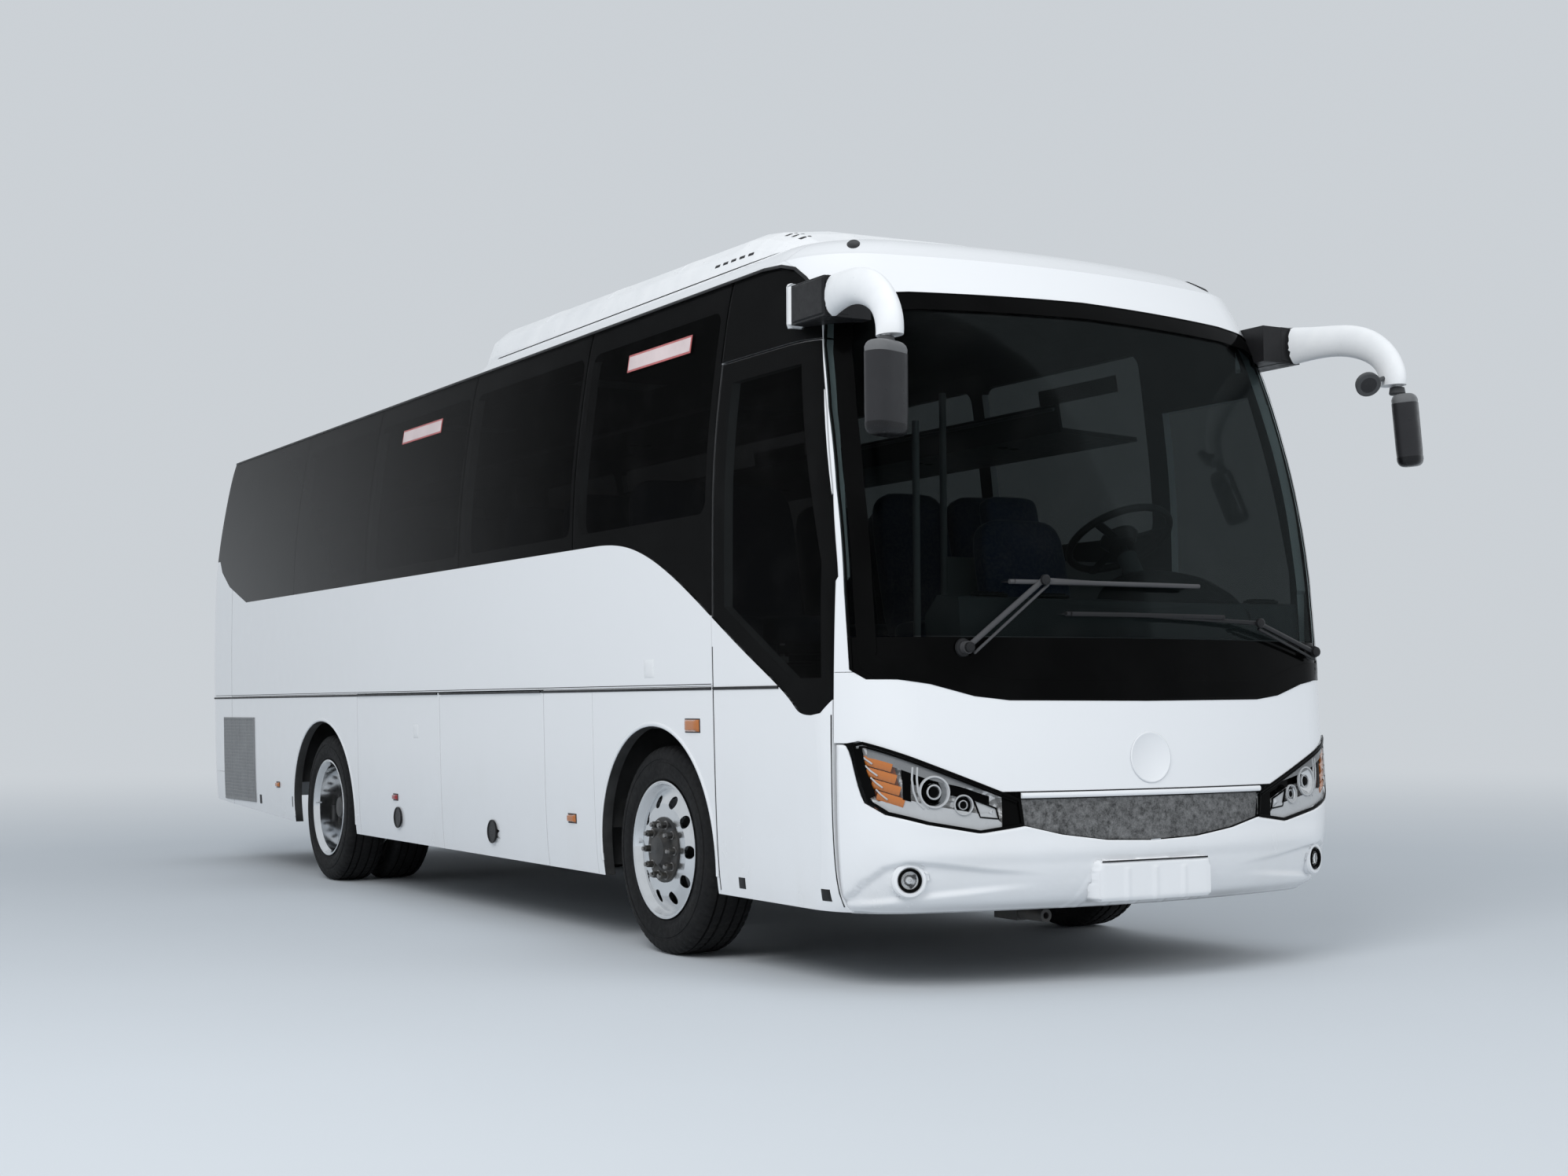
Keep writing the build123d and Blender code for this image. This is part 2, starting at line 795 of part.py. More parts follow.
def saloon_floor():
    """Saloon and cockpit floors, the entrance steps and the door post's bearing."""
    under = COCKPIT_Z - 40
    saloon = block((-1170, 1170), (-545, 6980), (COCKPIT_Z - 10, FLOOR_Z))
    cockpit = block((-STAIR_EDGE - 15, 1130), (-1760, -540), (under, COCKPIT_Z))
    corner = block((-1120, -STAIR_EDGE), (-1760, STAIR_WELL[0] - 7), (under, COCKPIT_Z))
    bearing = block((-1140, -1034), (-1399, -1290), (under + 5, COCKPIT_Z - 5))
    floor = join([saloon, cockpit, corner, bearing] + entrance_steps()) & CORE
    return floor - Pos(*DOOR_PIVOT, under) * Cylinder(30, 200)


def bay_floor():
    """Floor and bulkheads of the luggage bay between the axles."""
    floor = block((-1165, 1165), (640, 3950), (345, BAY_FLOOR_Z))
    ends = [block((-1165, 1165), (s, s + 25), (345, 985)) for s in (640, 3925)]
    middle = block((-1165, 1165), (2585, 2605), (345, 985))
    return (join([floor, middle] + ends) - frame_clearance()) & CORE


def frame_clearance():
    rails = [block((sign * 320, sign * 420), (-1400, 6600), (550, 770)) for sign in (-1, 1)]
    crosses = [block((-400, 400), (s - 10, s + 100), (590, 730)) for s in (1900, 3100)]
    return join(rails + crosses)


def wheel_housing(stations, inner_x, low, sign):
    """Tub over one wheel, open below and towards the side of the body."""
    first, last = stations
    outside = block((sign * inner_x, sign * 1178), (first, last), (low, 990))
    inside = block((sign * (inner_x + 12), sign * 1300), (first + 12, last - 12), (low - 100, 978))
    return (outside - inside) & CORE


def wheel_housings():
    tubs = []
    for sign in (-1, 1):
        tubs.append(wheel_housing((-537, 590), 560, 520, sign))
        tubs.append(wheel_housing((4030, 5300), 470, 590, sign))
    return tubs


def engine_block():
    return block((-300, 300), (5420, 6780), (430, 985))


# ---------------------------------------------------------------- cabin
def dashboard():
    """Moulded console under the windscreen, ahead of the driver."""
    outline = [
        (-1770, COCKPIT_Z + 2),
        (-1770, 1400),
        (-1700, 1480),
        (-1500, 1500),
        (-1410, 1420),
        (-1430, 1250),
        (-1490, COCKPIT_Z + 2),
    ]
    return side_prism(outline, -760, 1100) & body_form(WALL + 15)


STEERING_HUB = Vector(400, station(-1180), 1780)
STEERING_LEAN = 32


def steering_plane(offset):
    """Plane of the steering wheel, moved along the column."""
    lean = math.radians(STEERING_LEAN)
    axis = Vector(0, math.sin(lean), math.cos(lean))
    return Plane(origin=STEERING_HUB + axis * offset, x_dir=(1, 0, 0), z_dir=axis)


def steering_wheel():
    ring = steering_plane(0) * Torus(225, 16)
    hub = extrude(steering_plane(-45) * Circle(52), 50)
    spokes = [
        extrude(steering_plane(-22) * Rot(0, 0, angle) * Pos(130, 0) * Rectangle(200, 34), 14)
        for angle in (-30, 90, 210)
    ]
    shaft = extrude(steering_plane(-240) * Circle(17), 200)
    return join([ring, hub, shaft] + spokes)


def steering_column():
    """Sleeve round the steering shaft, down to the cockpit floor."""
    outside = extrude(steering_plane(-560) * Circle(42), 470)
    bore = extrude(steering_plane(-250) * Circle(22), 200)
    sleeve = (outside - bore) & block((-1100, 1100), (-1700, 0), (COCKPIT_Z + 2, 1800))
    return sleeve - dashboard()


def seat_solid(x_range, front, floor, back_height):
    """One seat: cushion, leaning back rest and pedestal."""
    cushion = block(x_range, (front, front + 440), (floor + 290, floor + 430))
    low, high = x_range
    back = side_prism(
        [
            (front + 380, floor + 300),
            (front + 500, floor + 300),
            (front + 660, floor + back_height),
            (front + 550, floor + back_height),
        ],
        low,
        high,
    )
    pedestal = block((low + 60, high - 60), (front + 90, front + 380), (floor + 1, floor + 300))
    return join([cushion, back, pedestal])


def driver_seat():
    return seat_solid((160, 640), -1010, COCKPIT_Z, 1000)


def passenger_seats():
    seats = []
    for row in range(SEAT_ROWS):
        front = FIRST_SEAT + row * SEAT_PITCH
        for x_range in ((-1110, -230), (230, 1110)):
            if row == SEAT_ROWS - 1 and x_range[0] > 0:
                x_range = (-200, 1110)
            seats.append(seat_solid(x_range, front, FLOOR_Z, 1080))
    return group(seats)


def handrails():
    """Screen behind the driver with its post, and a stanchion beside the steps."""
    screen = block((90, 1120), (-320, -302), (FLOOR_Z + 2, 1750))
    post = rod((90, station(-311), FLOOR_Z + 2), (90, station(-311), 2500), 16)
    stanchion = rod((-320, station(-700), COCKPIT_Z + 2), (-320, station(-700), 2300), 16)
    return group([(screen & CORE) + post, stanchion])


RACK_PROFILE = [(700, 2350), (1180, 2330), (1180, 2350), (710, 2370), (690, 2480), (670, 2480)]


def luggage_racks():
    racks = []
    for sign in (-1, 1):
        tray = front_prism(
            [(sign * x, z) for x, z in RACK_PROFILE],
            -400,
            6500,
        )
        racks.append(tray & body_form(WALL + 1))
    return group(racks)


# ---------------------------------------------------------------- outside fittings
def wiper(pivot, elbow, blade_from, blade_to):
    """Arm from its pivot over an elbow to a long blade."""
    places = []
    for (x, z), stand_off in zip((pivot, elbow, blade_from, blade_to), (30, 62, 52, 52)):
        places.append((x, skin_y(x, z) - stand_off, z))
    pivot_post = rod((pivot[0], places[0][1] - 10, pivot[1]), (pivot[0], skin_y(*pivot) - 1, pivot[1]), 24)
    middle = tuple((a + b) / 2 for a, b in zip(places[2], places[3]))
    arm = join([rod(places[0], places[1], 11), rod(places[1], middle, 9), Pos(*places[1]) * Sphere(11)])
    return join([pivot_post, arm, rod(places[2], places[3], 9)])


def wipers():
    right = wiper((-795, 1290), (-485, 1548), (-622, 1540), (276, 1540))
    left = wiper((1019, 1290), (600, 1400), (-390, 1420), (404, 1420))
    return group([right - body_form(-0.5), left - body_form(-0.5)])


# Mirror arm: place, direction it runs in, and its width and height there.
ARM_SECTIONS = [
    ((1150, -1330, 2640), (0.35, -1, 0), 80, 148),
    ((1212, -1560, 2636), (0.25, -1, -0.05), 84, 140),
    ((1238, -1740, 2614), (0.1, -1, -0.25), 86, 136),
    ((1249, -1865, 2552), (0.02, -0.75, -0.7), 88, 130),
    ((1254, -1925, 2475), (0, -0.3, -1), 90, 126),
    ((1256, -1936, 2400), (0, 0, -1), 90, 122),
]


def mirror_arm():
    """Base on the front corner and a goose-neck that reaches ahead of it, on the +X side."""
    base = Pos(1115, station(-1305), 2637) * Box(210, 250, 156)
    rings = []
    for (x, s, z), direction, width, height in ARM_SECTIONS:
        plane = Plane(origin=(x, station(s), z), x_dir=(1, 0, 0), z_dir=direction)
        rings.append((plane * Ellipse(width / 2, height / 2)).wire())
    neck = Solid.make_loft(rings)
    stub = rod((1275, station(-1940), 2340), (1275, station(-1940), 2450), 16)
    return join([base, neck, stub]) - OUTER


def mirror_arms():
    arm = mirror_arm()
    return group([arm - mirror_heads(), mirrored(arm) - mirror_heads()])


# Mirror heads: side, turn and lean in degrees, and half the height.
HEAD_POSES = [(-1, 20, 0, 170), (1, 38, 6, 152)]
HEAD_TOP = 2368
HEAD_REACH = 1395
HEAD_FRONT = -2051.5


def mirror_heads():
    """Two rounded heads, set so that both reach equally far out and forward."""
    heads = []
    for sign, turn, lean, half in HEAD_POSES:
        head = extrude(RectangleRounded(185, 104, 46), half, both=True)
        rims = head.faces().filter_by(Axis.Z).edges()
        head = Rot(0, -lean, 0) * Rot(0, 0, turn) * fillet(rims, 26)
        bounds = head.bounding_box()
        x = HEAD_REACH - bounds.max.X if sign > 0 else -HEAD_REACH - bounds.min.X
        heads.append(Pos(x, station(HEAD_FRONT) - bounds.min.Y, HEAD_TOP - bounds.max.Z) * head)
    return group(heads)


# ---------------------------------------------------------------- running gear
def revolve_profile(points):
    """A ring about the X axis from (x, radius) corners."""
    face = make_face(Polyline(*points, close=True))
    return revolve(face, axis=Axis.X)


def tyre():
    half = TYRE_WIDTH / 2
    outer = TYRE_RADIUS
    shape = revolve_profile(
        [
            (-half + 35, RIM_RADIUS - 14),
            (-half + 25, RIM_RADIUS + 2),
            (-half + 7, RIM_RADIUS + 5),
            (-half, RIM_RADIUS + 65),
            (-half + 8, outer - 32),
            (-half + 26, outer - 6),
            (-half + 50, outer),
            (half - 50, outer),
            (half - 26, outer - 6),
            (half - 8, outer - 32),
            (half, RIM_RADIUS + 65),
            (half - 7, RIM_RADIUS + 5),
            (half - 25, RIM_RADIUS + 2),
            (half - 35, RIM_RADIUS - 14),
        ]
    )
    return shape


def rim(disc_x):
    """Rim barrel with its disc at disc_x from the wheel's middle."""
    half = TYRE_WIDTH / 2 - 8
    barrel = revolve_profile(
        [
            (-half, RIM_RADIUS),
            (-half, RIM_RADIUS - 12),
            (-half + 30, RIM_RADIUS - 30),
            (half - 30, RIM_RADIUS - 30),
            (half, RIM_RADIUS - 12),
            (half, RIM_RADIUS),
            (half - 14, RIM_RADIUS - 1),
            (half - 20, RIM_RADIUS - 16),
            (-half + 20, RIM_RADIUS - 16),
            (-half + 14, RIM_RADIUS - 1),
        ]
    )
    disc = revolve_profile(
        [
            (disc_x - 14, 79),
            (disc_x - 14, 200),
            (disc_x - 50, RIM_RADIUS - 28),
            (disc_x - 34, RIM_RADIUS - 28),
            (disc_x + 2, 200),
            (disc_x + 2, 79),
        ]
    )
    holes = []
    for step in range(10):
        angle = math.radians(step * 36)
        place = (0, 215 * math.cos(angle), 215 * math.sin(angle))
        holes.append(rod((disc_x - 90, place[1], place[2]), (disc_x + 60, place[1], place[2]), 28))
    for hole in holes:
        disc = disc - hole
    return barrel + disc


def at_wheel(shape, sign, distance):
    """A wheel piece, made at the origin facing +X, moved to its hub."""
    placed = shape if sign > 0 else mirrored(shape)
    return Pos(sign * WHEEL_CENTRE_X, station(distance), TYRE_RADIUS) * placed


def front_rim():
    hub = revolve_profile([(-40, 0), (-40, 81), (125, 81), (150, 60), (156, 0)])
    return rim(DISC_OFFSET) + hub


def rear_rims():
    outer = mirrored(rim(DISC_OFFSET))
    inner = Pos(-TWIN_SPACING, 0, 0) * rim(DISC_OFFSET)
    hub = revolve_profile([(-370, 72), (-370, 81), (20, 81), (48, 60), (54, 0), (-60, 0), (-60, 72)])
    return outer + inner + hub


def rear_tyres():
    return group([tyre(), Pos(-TWIN_SPACING, 0, 0) * tyre()])


def front_axle():
    """Beam between the kingpins, with its springs."""
    y = station(0)
    beam = Pos(0, y, 400) * Box(2 * KINGPIN_X - 150, 110, 90)
    eyes = []
    for sign in (-1, 1):
        pin = Pos(sign * KINGPIN_X, y, TYRE_RADIUS) * (Cylinder(38, 150) - Cylinder(20.05, 200))
        arm = Pos(sign * (KINGPIN_X - 70), y, 430) * Box(90, 90, 90)
        eyes.append(arm + pin)
        eyes.append(Pos(sign * 370, y, 500) * Box(75, 1000, 36))
        eyes.append(Pos(sign * 370, y, 462) * Box(90, 130, 60))
    hangers = [
        Pos(sign * 370, y + offset, 530) * Box(70, 60, 60) for sign in (-1, 1) for offset in (-480, 480)
    ]
    bores = [Pos(sign * KINGPIN_X, y, TYRE_RADIUS) * Cylinder(20.05, 220) for sign in (-1, 1)]
    whole = join([beam] + eyes + hangers)
    for bore in bores:
        whole = whole - bore
    return whole


def knuckle(sign):
    """Fork round the kingpin eye with the stub axle."""
    y = station(0)
    x = sign * KINGPIN_X
    pin = Pos(x, y, TYRE_RADIUS) * Cylinder(20, 250)
    jaws = [Pos(x + sign * 5, y, TYRE_RADIUS + lift) * Box(90, 90, 28) for lift in (-96, 96)]
    web = Pos(x + sign * 52, y, TYRE_RADIUS) * Box(20, 90, 220)
    arm = Pos(x, y + 110, TYRE_RADIUS - 100) * Box(40, 170, 24)
    return join([pin, web, arm] + jaws)


def rear_axle():
    y = station(WHEELBASE)
    outline = [(-690, 0), (-690, 66), (-250, 66), (-150, 180), (150, 180), (250, 66), (690, 66), (690, 0)]
    casing = Pos(0, y, TYRE_RADIUS) * revolve_profile(outline)
    springs = [Pos(sign * 370, y, 545) * Box(75, 1100, 30) for sign in (-1, 1)]
    seats = [Pos(sign * 370, y, 500) * Box(90, 140, 80) for sign in (-1, 1)]
    return join([casing] + springs + seats)


# ---------------------------------------------------------------- write the nodes
def nodes():
    sides = (("right", -1), ("left", 1))
    made = {
        "chassis_frame": chassis_frame(),
        "saloon_floor": saloon_floor(),
        "luggage_bay_floor": bay_floor(),
        "wheel_housings": group(wheel_housings()),
        "engine_block": engine_block(),
        "upper_side_walls": group([upper_wall(side) for side, sign in sides]),
        "lower_side_panels": group([fixed_lower_panels(side) for side, sign in sides]),
        "side_glass": group([side_glass(side) for side, sign in sides]),
        "roof": roof(),
        "front_dome": front_dome(),
        "windscreen": windscreen(),
        "windscreen_mask": windscreen_mask(),
        "front_panel": front_panel(),
        "front_bumper": front_bumper(),
        "grille_strip": grille_strip(),
        "front_lamps": front_lamps(),
        "rear_panel": rear_panel(),
        "rear_window": rear_window(),
        "rear_bumper": rear_bumper(),
        "rear_lamps": rear_lamps(),
        "engine_hatch": engine_hatch(),
        "roof_air_conditioner": roof_air_conditioner(),
        "passenger_door": door_leaf(),
        "door_glass": door_glass(),
        "door_arm": door_arm(),
        "dashboard": dashboard(),
        "steering_column": steering_column(),
        "steering_wheel": steering_wheel(),
        "driver_seat": driver_seat(),
        "passenger_seats": passenger_seats(),
        "handrails": handrails(),
        "luggage_racks": luggage_racks(),
        "wipers": wipers(),
        "mirror_arms": mirror_arms(),
        "mirror_heads": mirror_heads(),
        "front_axle": front_axle(),
        "rear_axle": rear_axle(),
    }
    for name, first in HATCHES.items():
        made[f"roof_hatch_{name}"] = roof_hatch(first)
    for name, bay in zip(("front", "rear"), BAY_DOORS):
        for side, sign in sides:
            made[f"luggage_door_{side}_{name}"] = luggage_door(name, bay, side)
    for side, sign in sides:
        made[f"knuckle_{side}"] = knuckle(sign)
        made[f"front_tyre_{side}"] = at_wheel(tyre(), sign, 0)
        made[f"front_rim_{side}"] = at_wheel(front_rim(), sign, 0)
        made[f"rear_tyres_{side}"] = at_wheel(rear_tyres(), sign, WHEELBASE)
        made[f"rear_rims_{side}"] = at_wheel(rear_rims(), sign, WHEELBASE)
    return made


os.makedirs("parts", exist_ok=True)
for node_name, node_shape in nodes().items():
    export_step(node_shape, f"parts/{node_name}.step")
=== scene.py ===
import json
import math

import bmesh
import bpy
from mathutils import Matrix, Vector
from mathutils.bvhtree import BVHTree


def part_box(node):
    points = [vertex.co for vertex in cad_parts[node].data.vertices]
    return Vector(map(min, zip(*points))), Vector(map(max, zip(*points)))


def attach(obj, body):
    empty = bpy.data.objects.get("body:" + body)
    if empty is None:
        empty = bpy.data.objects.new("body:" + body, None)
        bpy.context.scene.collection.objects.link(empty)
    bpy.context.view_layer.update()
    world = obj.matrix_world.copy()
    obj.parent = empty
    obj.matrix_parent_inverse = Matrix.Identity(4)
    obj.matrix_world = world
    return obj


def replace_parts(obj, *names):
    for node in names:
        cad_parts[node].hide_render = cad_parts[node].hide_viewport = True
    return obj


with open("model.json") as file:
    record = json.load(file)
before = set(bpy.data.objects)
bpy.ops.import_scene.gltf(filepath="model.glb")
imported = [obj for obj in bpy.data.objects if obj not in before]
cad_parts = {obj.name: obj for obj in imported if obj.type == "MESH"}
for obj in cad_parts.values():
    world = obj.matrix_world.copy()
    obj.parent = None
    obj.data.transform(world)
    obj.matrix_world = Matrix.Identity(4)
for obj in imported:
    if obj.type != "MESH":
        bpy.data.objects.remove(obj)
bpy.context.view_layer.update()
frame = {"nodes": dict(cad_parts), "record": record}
NODES = frame["nodes"]


# ---------------------------------------------------------------- measures taken from the frame
def middle(node):
    low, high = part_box(node)
    return (low + high) / 2


FRONT_Y = middle("front_tyre_right").y
REAR_Y = middle("rear_tyres_right").y
AXLE_Z = middle("front_tyre_right").z
WHEEL_X = 1.068
TWIN_X = 0.768
SIDES = ((-1, "right"), (1, "left"))
# Wheel arches: middle station, half length and rise above ARCH_Z.
ARCHES = ((0.020, 0.545, 0.548), (4.655, 0.605, 0.550))
ARCH_Z = 0.440
# Luggage door latches: station and height.
LATCHES = {"front": (1.870, 0.440), "rear": (3.275, 0.450)}
WAIST_Z = 1.1475


def station(distance):
    """Y of a place this many metres behind the front axle."""
    return FRONT_Y + distance


def steps(start, end, count):
    return [start + (end - start) * i / count for i in range(count + 1)]


def smooth(value, low, high):
    """0 below low, 1 above high and a soft ramp between them."""
    share = min(1, max(0, (value - low) / (high - low)))
    return share * share * (3 - 2 * share)


def between(table, value):
    """Reads a table of (place, amount) pairs, straight between its rows."""
    if value <= table[0][0]:
        return table[0][1]
    for (a, low), (b, high) in zip(table, table[1:]):
        if value <= b:
            return low + (high - low) * (value - a) / (b - a)
    return table[-1][1]


def along(points, pace=0.02, closed=False):
    """Even steps along a broken line."""
    made = []
    rest = points[1:] + ([points[0]] if closed else [])
    for a, b in zip(points, rest):
        count = max(1, round(math.dist(a, b) / pace))
        made += [tuple(p + (q - p) * i / count for p, q in zip(a, b)) for i in range(count)]
    return made if closed else made + [points[-1]]


def circle(sides, radius=1.0, along_axis=0.0):
    """Points round the Z axis."""
    turns = steps(0, 2 * math.pi, sides)[:-1]
    return [Vector((math.cos(a) * radius, math.sin(a) * radius, along_axis)) for a in turns]


# ---------------------------------------------------------------- node helpers
def grey(value):
    return (value, value, value, 1)


def tint(colour, factor, lift=0.0):
    """A colour made lighter or darker."""
    return [min(1, c * factor + lift) for c in colour[:3]] + [1]


class Shader:
    """Builds one procedural material out of nodes."""

    def __init__(self, name):
        self.material = bpy.data.materials.new(name)
        self.material.use_nodes = True
        self.tree = self.material.node_tree
        self.tree.nodes.clear()
        self.output = self.tree.nodes.new("ShaderNodeOutputMaterial")

    def node(self, kind, settings=None, **inputs):
        """Adds a node. An input is named, or numbered as _0, _1 and so on."""
        made = self.tree.nodes.new("ShaderNode" + kind)
        for key, value in (settings or {}).items():
            setattr(made, key, value)
        for key, value in inputs.items():
            name = key.replace("_", " ").strip()
            target = made.inputs[int(name) if name.isdigit() else name]
            if isinstance(value, bpy.types.NodeSocket):
                self.tree.links.new(value, target)
            else:
                target.default_value = value
        return made

    def surface(self, socket):
        self.tree.links.new(socket, self.output.inputs["Surface"])
        return self.material

    def math(self, operation, a, b=0.0):
        return self.node("Math", {"operation": operation}, _0=a, _1=b).outputs[0]

    def plus(self, a, b):
        return self.math("ADD", a, b)

    def times(self, a, b):
        return self.math("MULTIPLY", a, b)

    def wave(self, value, pace):
        return self.math("SINE", self.times(value, pace))

    def reach(self, a, b):
        """The diagonal over two sides."""
        return self.math("SQRT", self.plus(self.math("POWER", a, 2), self.math("POWER", b, 2)))

    def place(self):
        """Object coordinates, which are the row frame's metres."""
        return self.node("TexCoord").outputs["Object"]

    def axes(self):
        return self.node("SeparateXYZ", Vector=self.place()).outputs

    def noise(self, scale, detail=4.0, rough=0.55, stretch=(1, 1, 1)):
        mapped = self.node("Mapping", Vector=self.place(), Scale=stretch).outputs[0]
        made = self.node("TexNoise", Vector=mapped, Scale=scale, Detail=detail, Roughness=rough)
        return made.outputs["Fac"]

    def ramp(self, value, low, high, out_low=0.0, out_high=1.0):
        return self.node("MapRange", Value=value, _1=low, _2=high, _3=out_low, _4=out_high).outputs[0]

    def mix(self, share, first, second):
        return self.node("Mix", {"data_type": "RGBA"}, _0=share, _6=first, _7=second).outputs[2]

    def blend(self, share, first, second):
        return self.node("MixShader", _0=share, _1=first, _2=second).outputs[0]

    def bump(self, height, strength, distance, normal=None):
        below = {} if normal is None else {"Normal": normal}
        made = self.node("Bump", Height=height, Strength=strength, Distance=distance, **below)
        return made.outputs[0]

    def rounded(self, radius):
        """Normals that round the edges off by a few millimetres."""
        return self.node("Bevel", {"samples": 4}, Radius=radius).outputs[0]

    def principled(self, base, rough, normal, **more):
        made = self.node("BsdfPrincipled", Base_Color=base, Roughness=rough, Normal=normal, **more)
        return made.outputs[0]

    def glazed(self, body, normal, rough, ior, gloss=1.0):
        """A clean reflection over a body."""
        shine = self.node("BsdfGlossy", Color=grey(1), Roughness=rough, Normal=normal).outputs[0]
        share = self.times(self.node("Fresnel", IOR=ior, Normal=normal).outputs[0], gloss)
        return self.surface(self.blend(share, body, shine))


# ---------------------------------------------------------------- materials
def paint(name, colour):
    """Clear-coated body paint with faint waviness, and road dust low down."""
    s = Shader(name)
    low_down = s.ramp(s.axes()["Z"], 0.95, 0.3, 0.0, 0.35)
    patches = s.ramp(s.noise(1.7, 6, 0.6), 0.42, 0.72)
    streaks = s.ramp(s.noise(5, 5, 0.65, (1, 1, 0.12)), 0.45, 0.8, 0.3, 1)
    dust = s.times(s.times(low_down, patches), streaks)
    tone = s.mix(s.ramp(s.noise(0.8, 2), 0.3, 0.7, 0, 0.05), colour, tint(colour, 0.9))
    base = s.mix(dust, tone, (0.52, 0.5, 0.46, 1))
    rough = s.plus(s.ramp(s.noise(9, 5), 0.3, 0.7, 0.16, 0.24), s.times(dust, 0.6))
    wave = s.bump(s.noise(2.2, 2, 0.5), 0.035, 0.05, s.rounded(0.003))
    peel = s.bump(s.noise(260, 2), 0.015, 0.0006, wave)
    coat = s.math("SUBTRACT", 0.7, dust)
    return s.surface(s.principled(base, rough, peel, Coat_Weight=coat, Coat_Roughness=0.05))


def moulded(name, colour, rough=0.5, grain=420, depth=0.25):
    """Moulded plastic with a fine leather-like grain."""
    s = Shader(name)
    cells = s.node("TexVoronoi", Vector=s.place(), Scale=grain).outputs["Distance"]
    base = s.mix(s.ramp(s.noise(6, 5), 0.3, 0.75, 0, 0.35), colour, tint(colour, 1.5, 0.01))
    roughness = s.ramp(s.noise(35, 4), 0.3, 0.7, rough - 0.08, rough + 0.08)
    normal = s.bump(cells, depth, 0.0008, s.rounded(0.002))
    return s.surface(s.principled(base, roughness, normal, Specular_IOR_Level=0.25))


def gloss_black(name):
    """Black enamel behind and around the glass."""
    s = Shader(name)
    base = s.mix(s.ramp(s.noise(3, 5), 0.4, 0.75, 0, 0.5), grey(0.0015), grey(0.005))
    roughness = s.ramp(s.noise(14, 6), 0.35, 0.75, 0.07, 0.15)
    normal = s.bump(s.noise(2.5, 2), 0.03, 0.03, s.rounded(0.002))
    return s.surface(s.principled(base, roughness, normal, Specular_IOR_Level=0.04))


def window(name, colour, gloss, tail_lightening=0.0):
    """Tinted sheet glass: what is behind shows through the tint, with a clean reflection on top.
    A pale film on it grows towards the tail of the bus and towards its lower edge, so the glass is lighter
    there."""
    s = Shader(name)
    normal = s.bump(s.noise(1.4, 2), 0.03, 0.04)
    back = s.ramp(s.axes()["Y"], station(0.5), station(7.2))
    low = s.ramp(s.axes()["Z"], 2.9, 1.8, 0.55, 1)
    # Lighter towards the tail and the lower edge: a pale film grows there.
    lightening = s.times(s.times(s.math("POWER", back, 1.6), low), tail_lightening)
    smear_and_lightening = s.plus(s.ramp(s.noise(4.5, 6, 0.7), 0.5, 0.8, 0, 0.02), s.times(lightening, 0.9))
    through = s.node("BsdfTransparent", Color=colour).outputs[0]
    film = s.node("BsdfDiffuse", Color=grey(0.18)).outputs[0]
    return s.glazed(s.blend(smear_and_lightening, through, film), normal, 0.015, 1.5, gloss)


def lens(name, colour, rough=0.04, ribs=0.0, opaque=0.0):
    """Lamp lens: clear or coloured plastic, smooth or with moulded ribs."""
    s = Shader(name)
    height = s.wave(s.axes()["X"], ribs) if ribs else s.noise(180, 2)
    normal = s.bump(height, 0.25 if ribs else 0.02, 0.002)
    through = s.node("BsdfTransparent", Color=colour).outputs[0]
    return s.glazed(s.blend(opaque, through, s.principled(colour, 0.25, normal)), normal, rough, 1.45)


def metal(name, colour, rough, turned=False):
    """Bare metal, with fine scratches or lathe rings about a wheel's axis."""
    s = Shader(name)
    base = s.mix(s.ramp(s.noise(12, 6, 0.65), 0.45, 0.75, 0, 0.3), colour, tint(colour, 0.72))
    roughness = s.ramp(s.noise(40, 4), 0.3, 0.75, rough * 0.7, rough * 1.5)
    if turned:
        place = s.axes()
        ahead = s.math("LESS_THAN", place["Y"], (FRONT_Y + REAR_Y) / 2)
        centre = s.plus(s.times(ahead, FRONT_Y - REAR_Y), REAR_Y)
        up = s.math("SUBTRACT", place["Z"], AXLE_Z)
        height = s.wave(s.reach(s.math("SUBTRACT", place["Y"], centre), up), 2600)
    else:
        height = s.noise(160, 3, 0.6, (1, 1, 6))
    normal = s.bump(height, 0.12, 0.0004, s.rounded(0.0015))
    return s.surface(s.principled(base, roughness, normal, Metallic=1.0))


def chrome(name):
    """Bright plating that shows faint ripples."""
    s = Shader(name)
    base = s.mix(s.ramp(s.noise(20, 4), 0.4, 0.7), grey(0.86), grey(0.72))
    normal = s.bump(s.noise(60, 2), 0.03, 0.002, s.rounded(0.001))
    rough = s.ramp(s.noise(50, 4), 0.3, 0.7, 0.06, 0.12)
    return s.surface(s.principled(base, rough, normal, Metallic=1.0))


def faceted(name):
    """Bright vacuum-plated lamp housing, broken into small facets."""
    s = Shader(name)
    cell = s.node("TexVoronoi", Vector=s.place(), Scale=34.0).outputs["Distance"]
    base = s.mix(s.ramp(cell, 0.1, 0.9), grey(1.0), grey(0.75))
    normal = s.bump(cell, 0.9, 0.02, s.bump(s.noise(60, 3), 0.4, 0.004))
    rough = s.ramp(s.noise(80, 3), 0.3, 0.7, 0.1, 0.3)
    return s.surface(s.principled(base, rough, normal, Metallic=0.4))


def rubber(name):
    """Tyre rubber, greyed by dust."""
    s = Shader(name)
    dust = s.ramp(s.noise(9, 6, 0.65), 0.45, 0.8, 0, 0.12)
    base = s.mix(dust, (0.009, 0.009, 0.0095, 1), (0.075, 0.07, 0.063, 1))
    roughness = s.ramp(s.noise(60, 4), 0.3, 0.7, 0.62, 0.82)
    normal = s.bump(s.noise(480, 3), 0.25, 0.0006, s.rounded(0.0015))
    return s.surface(s.principled(base, roughness, normal, Specular_IOR_Level=0.2))


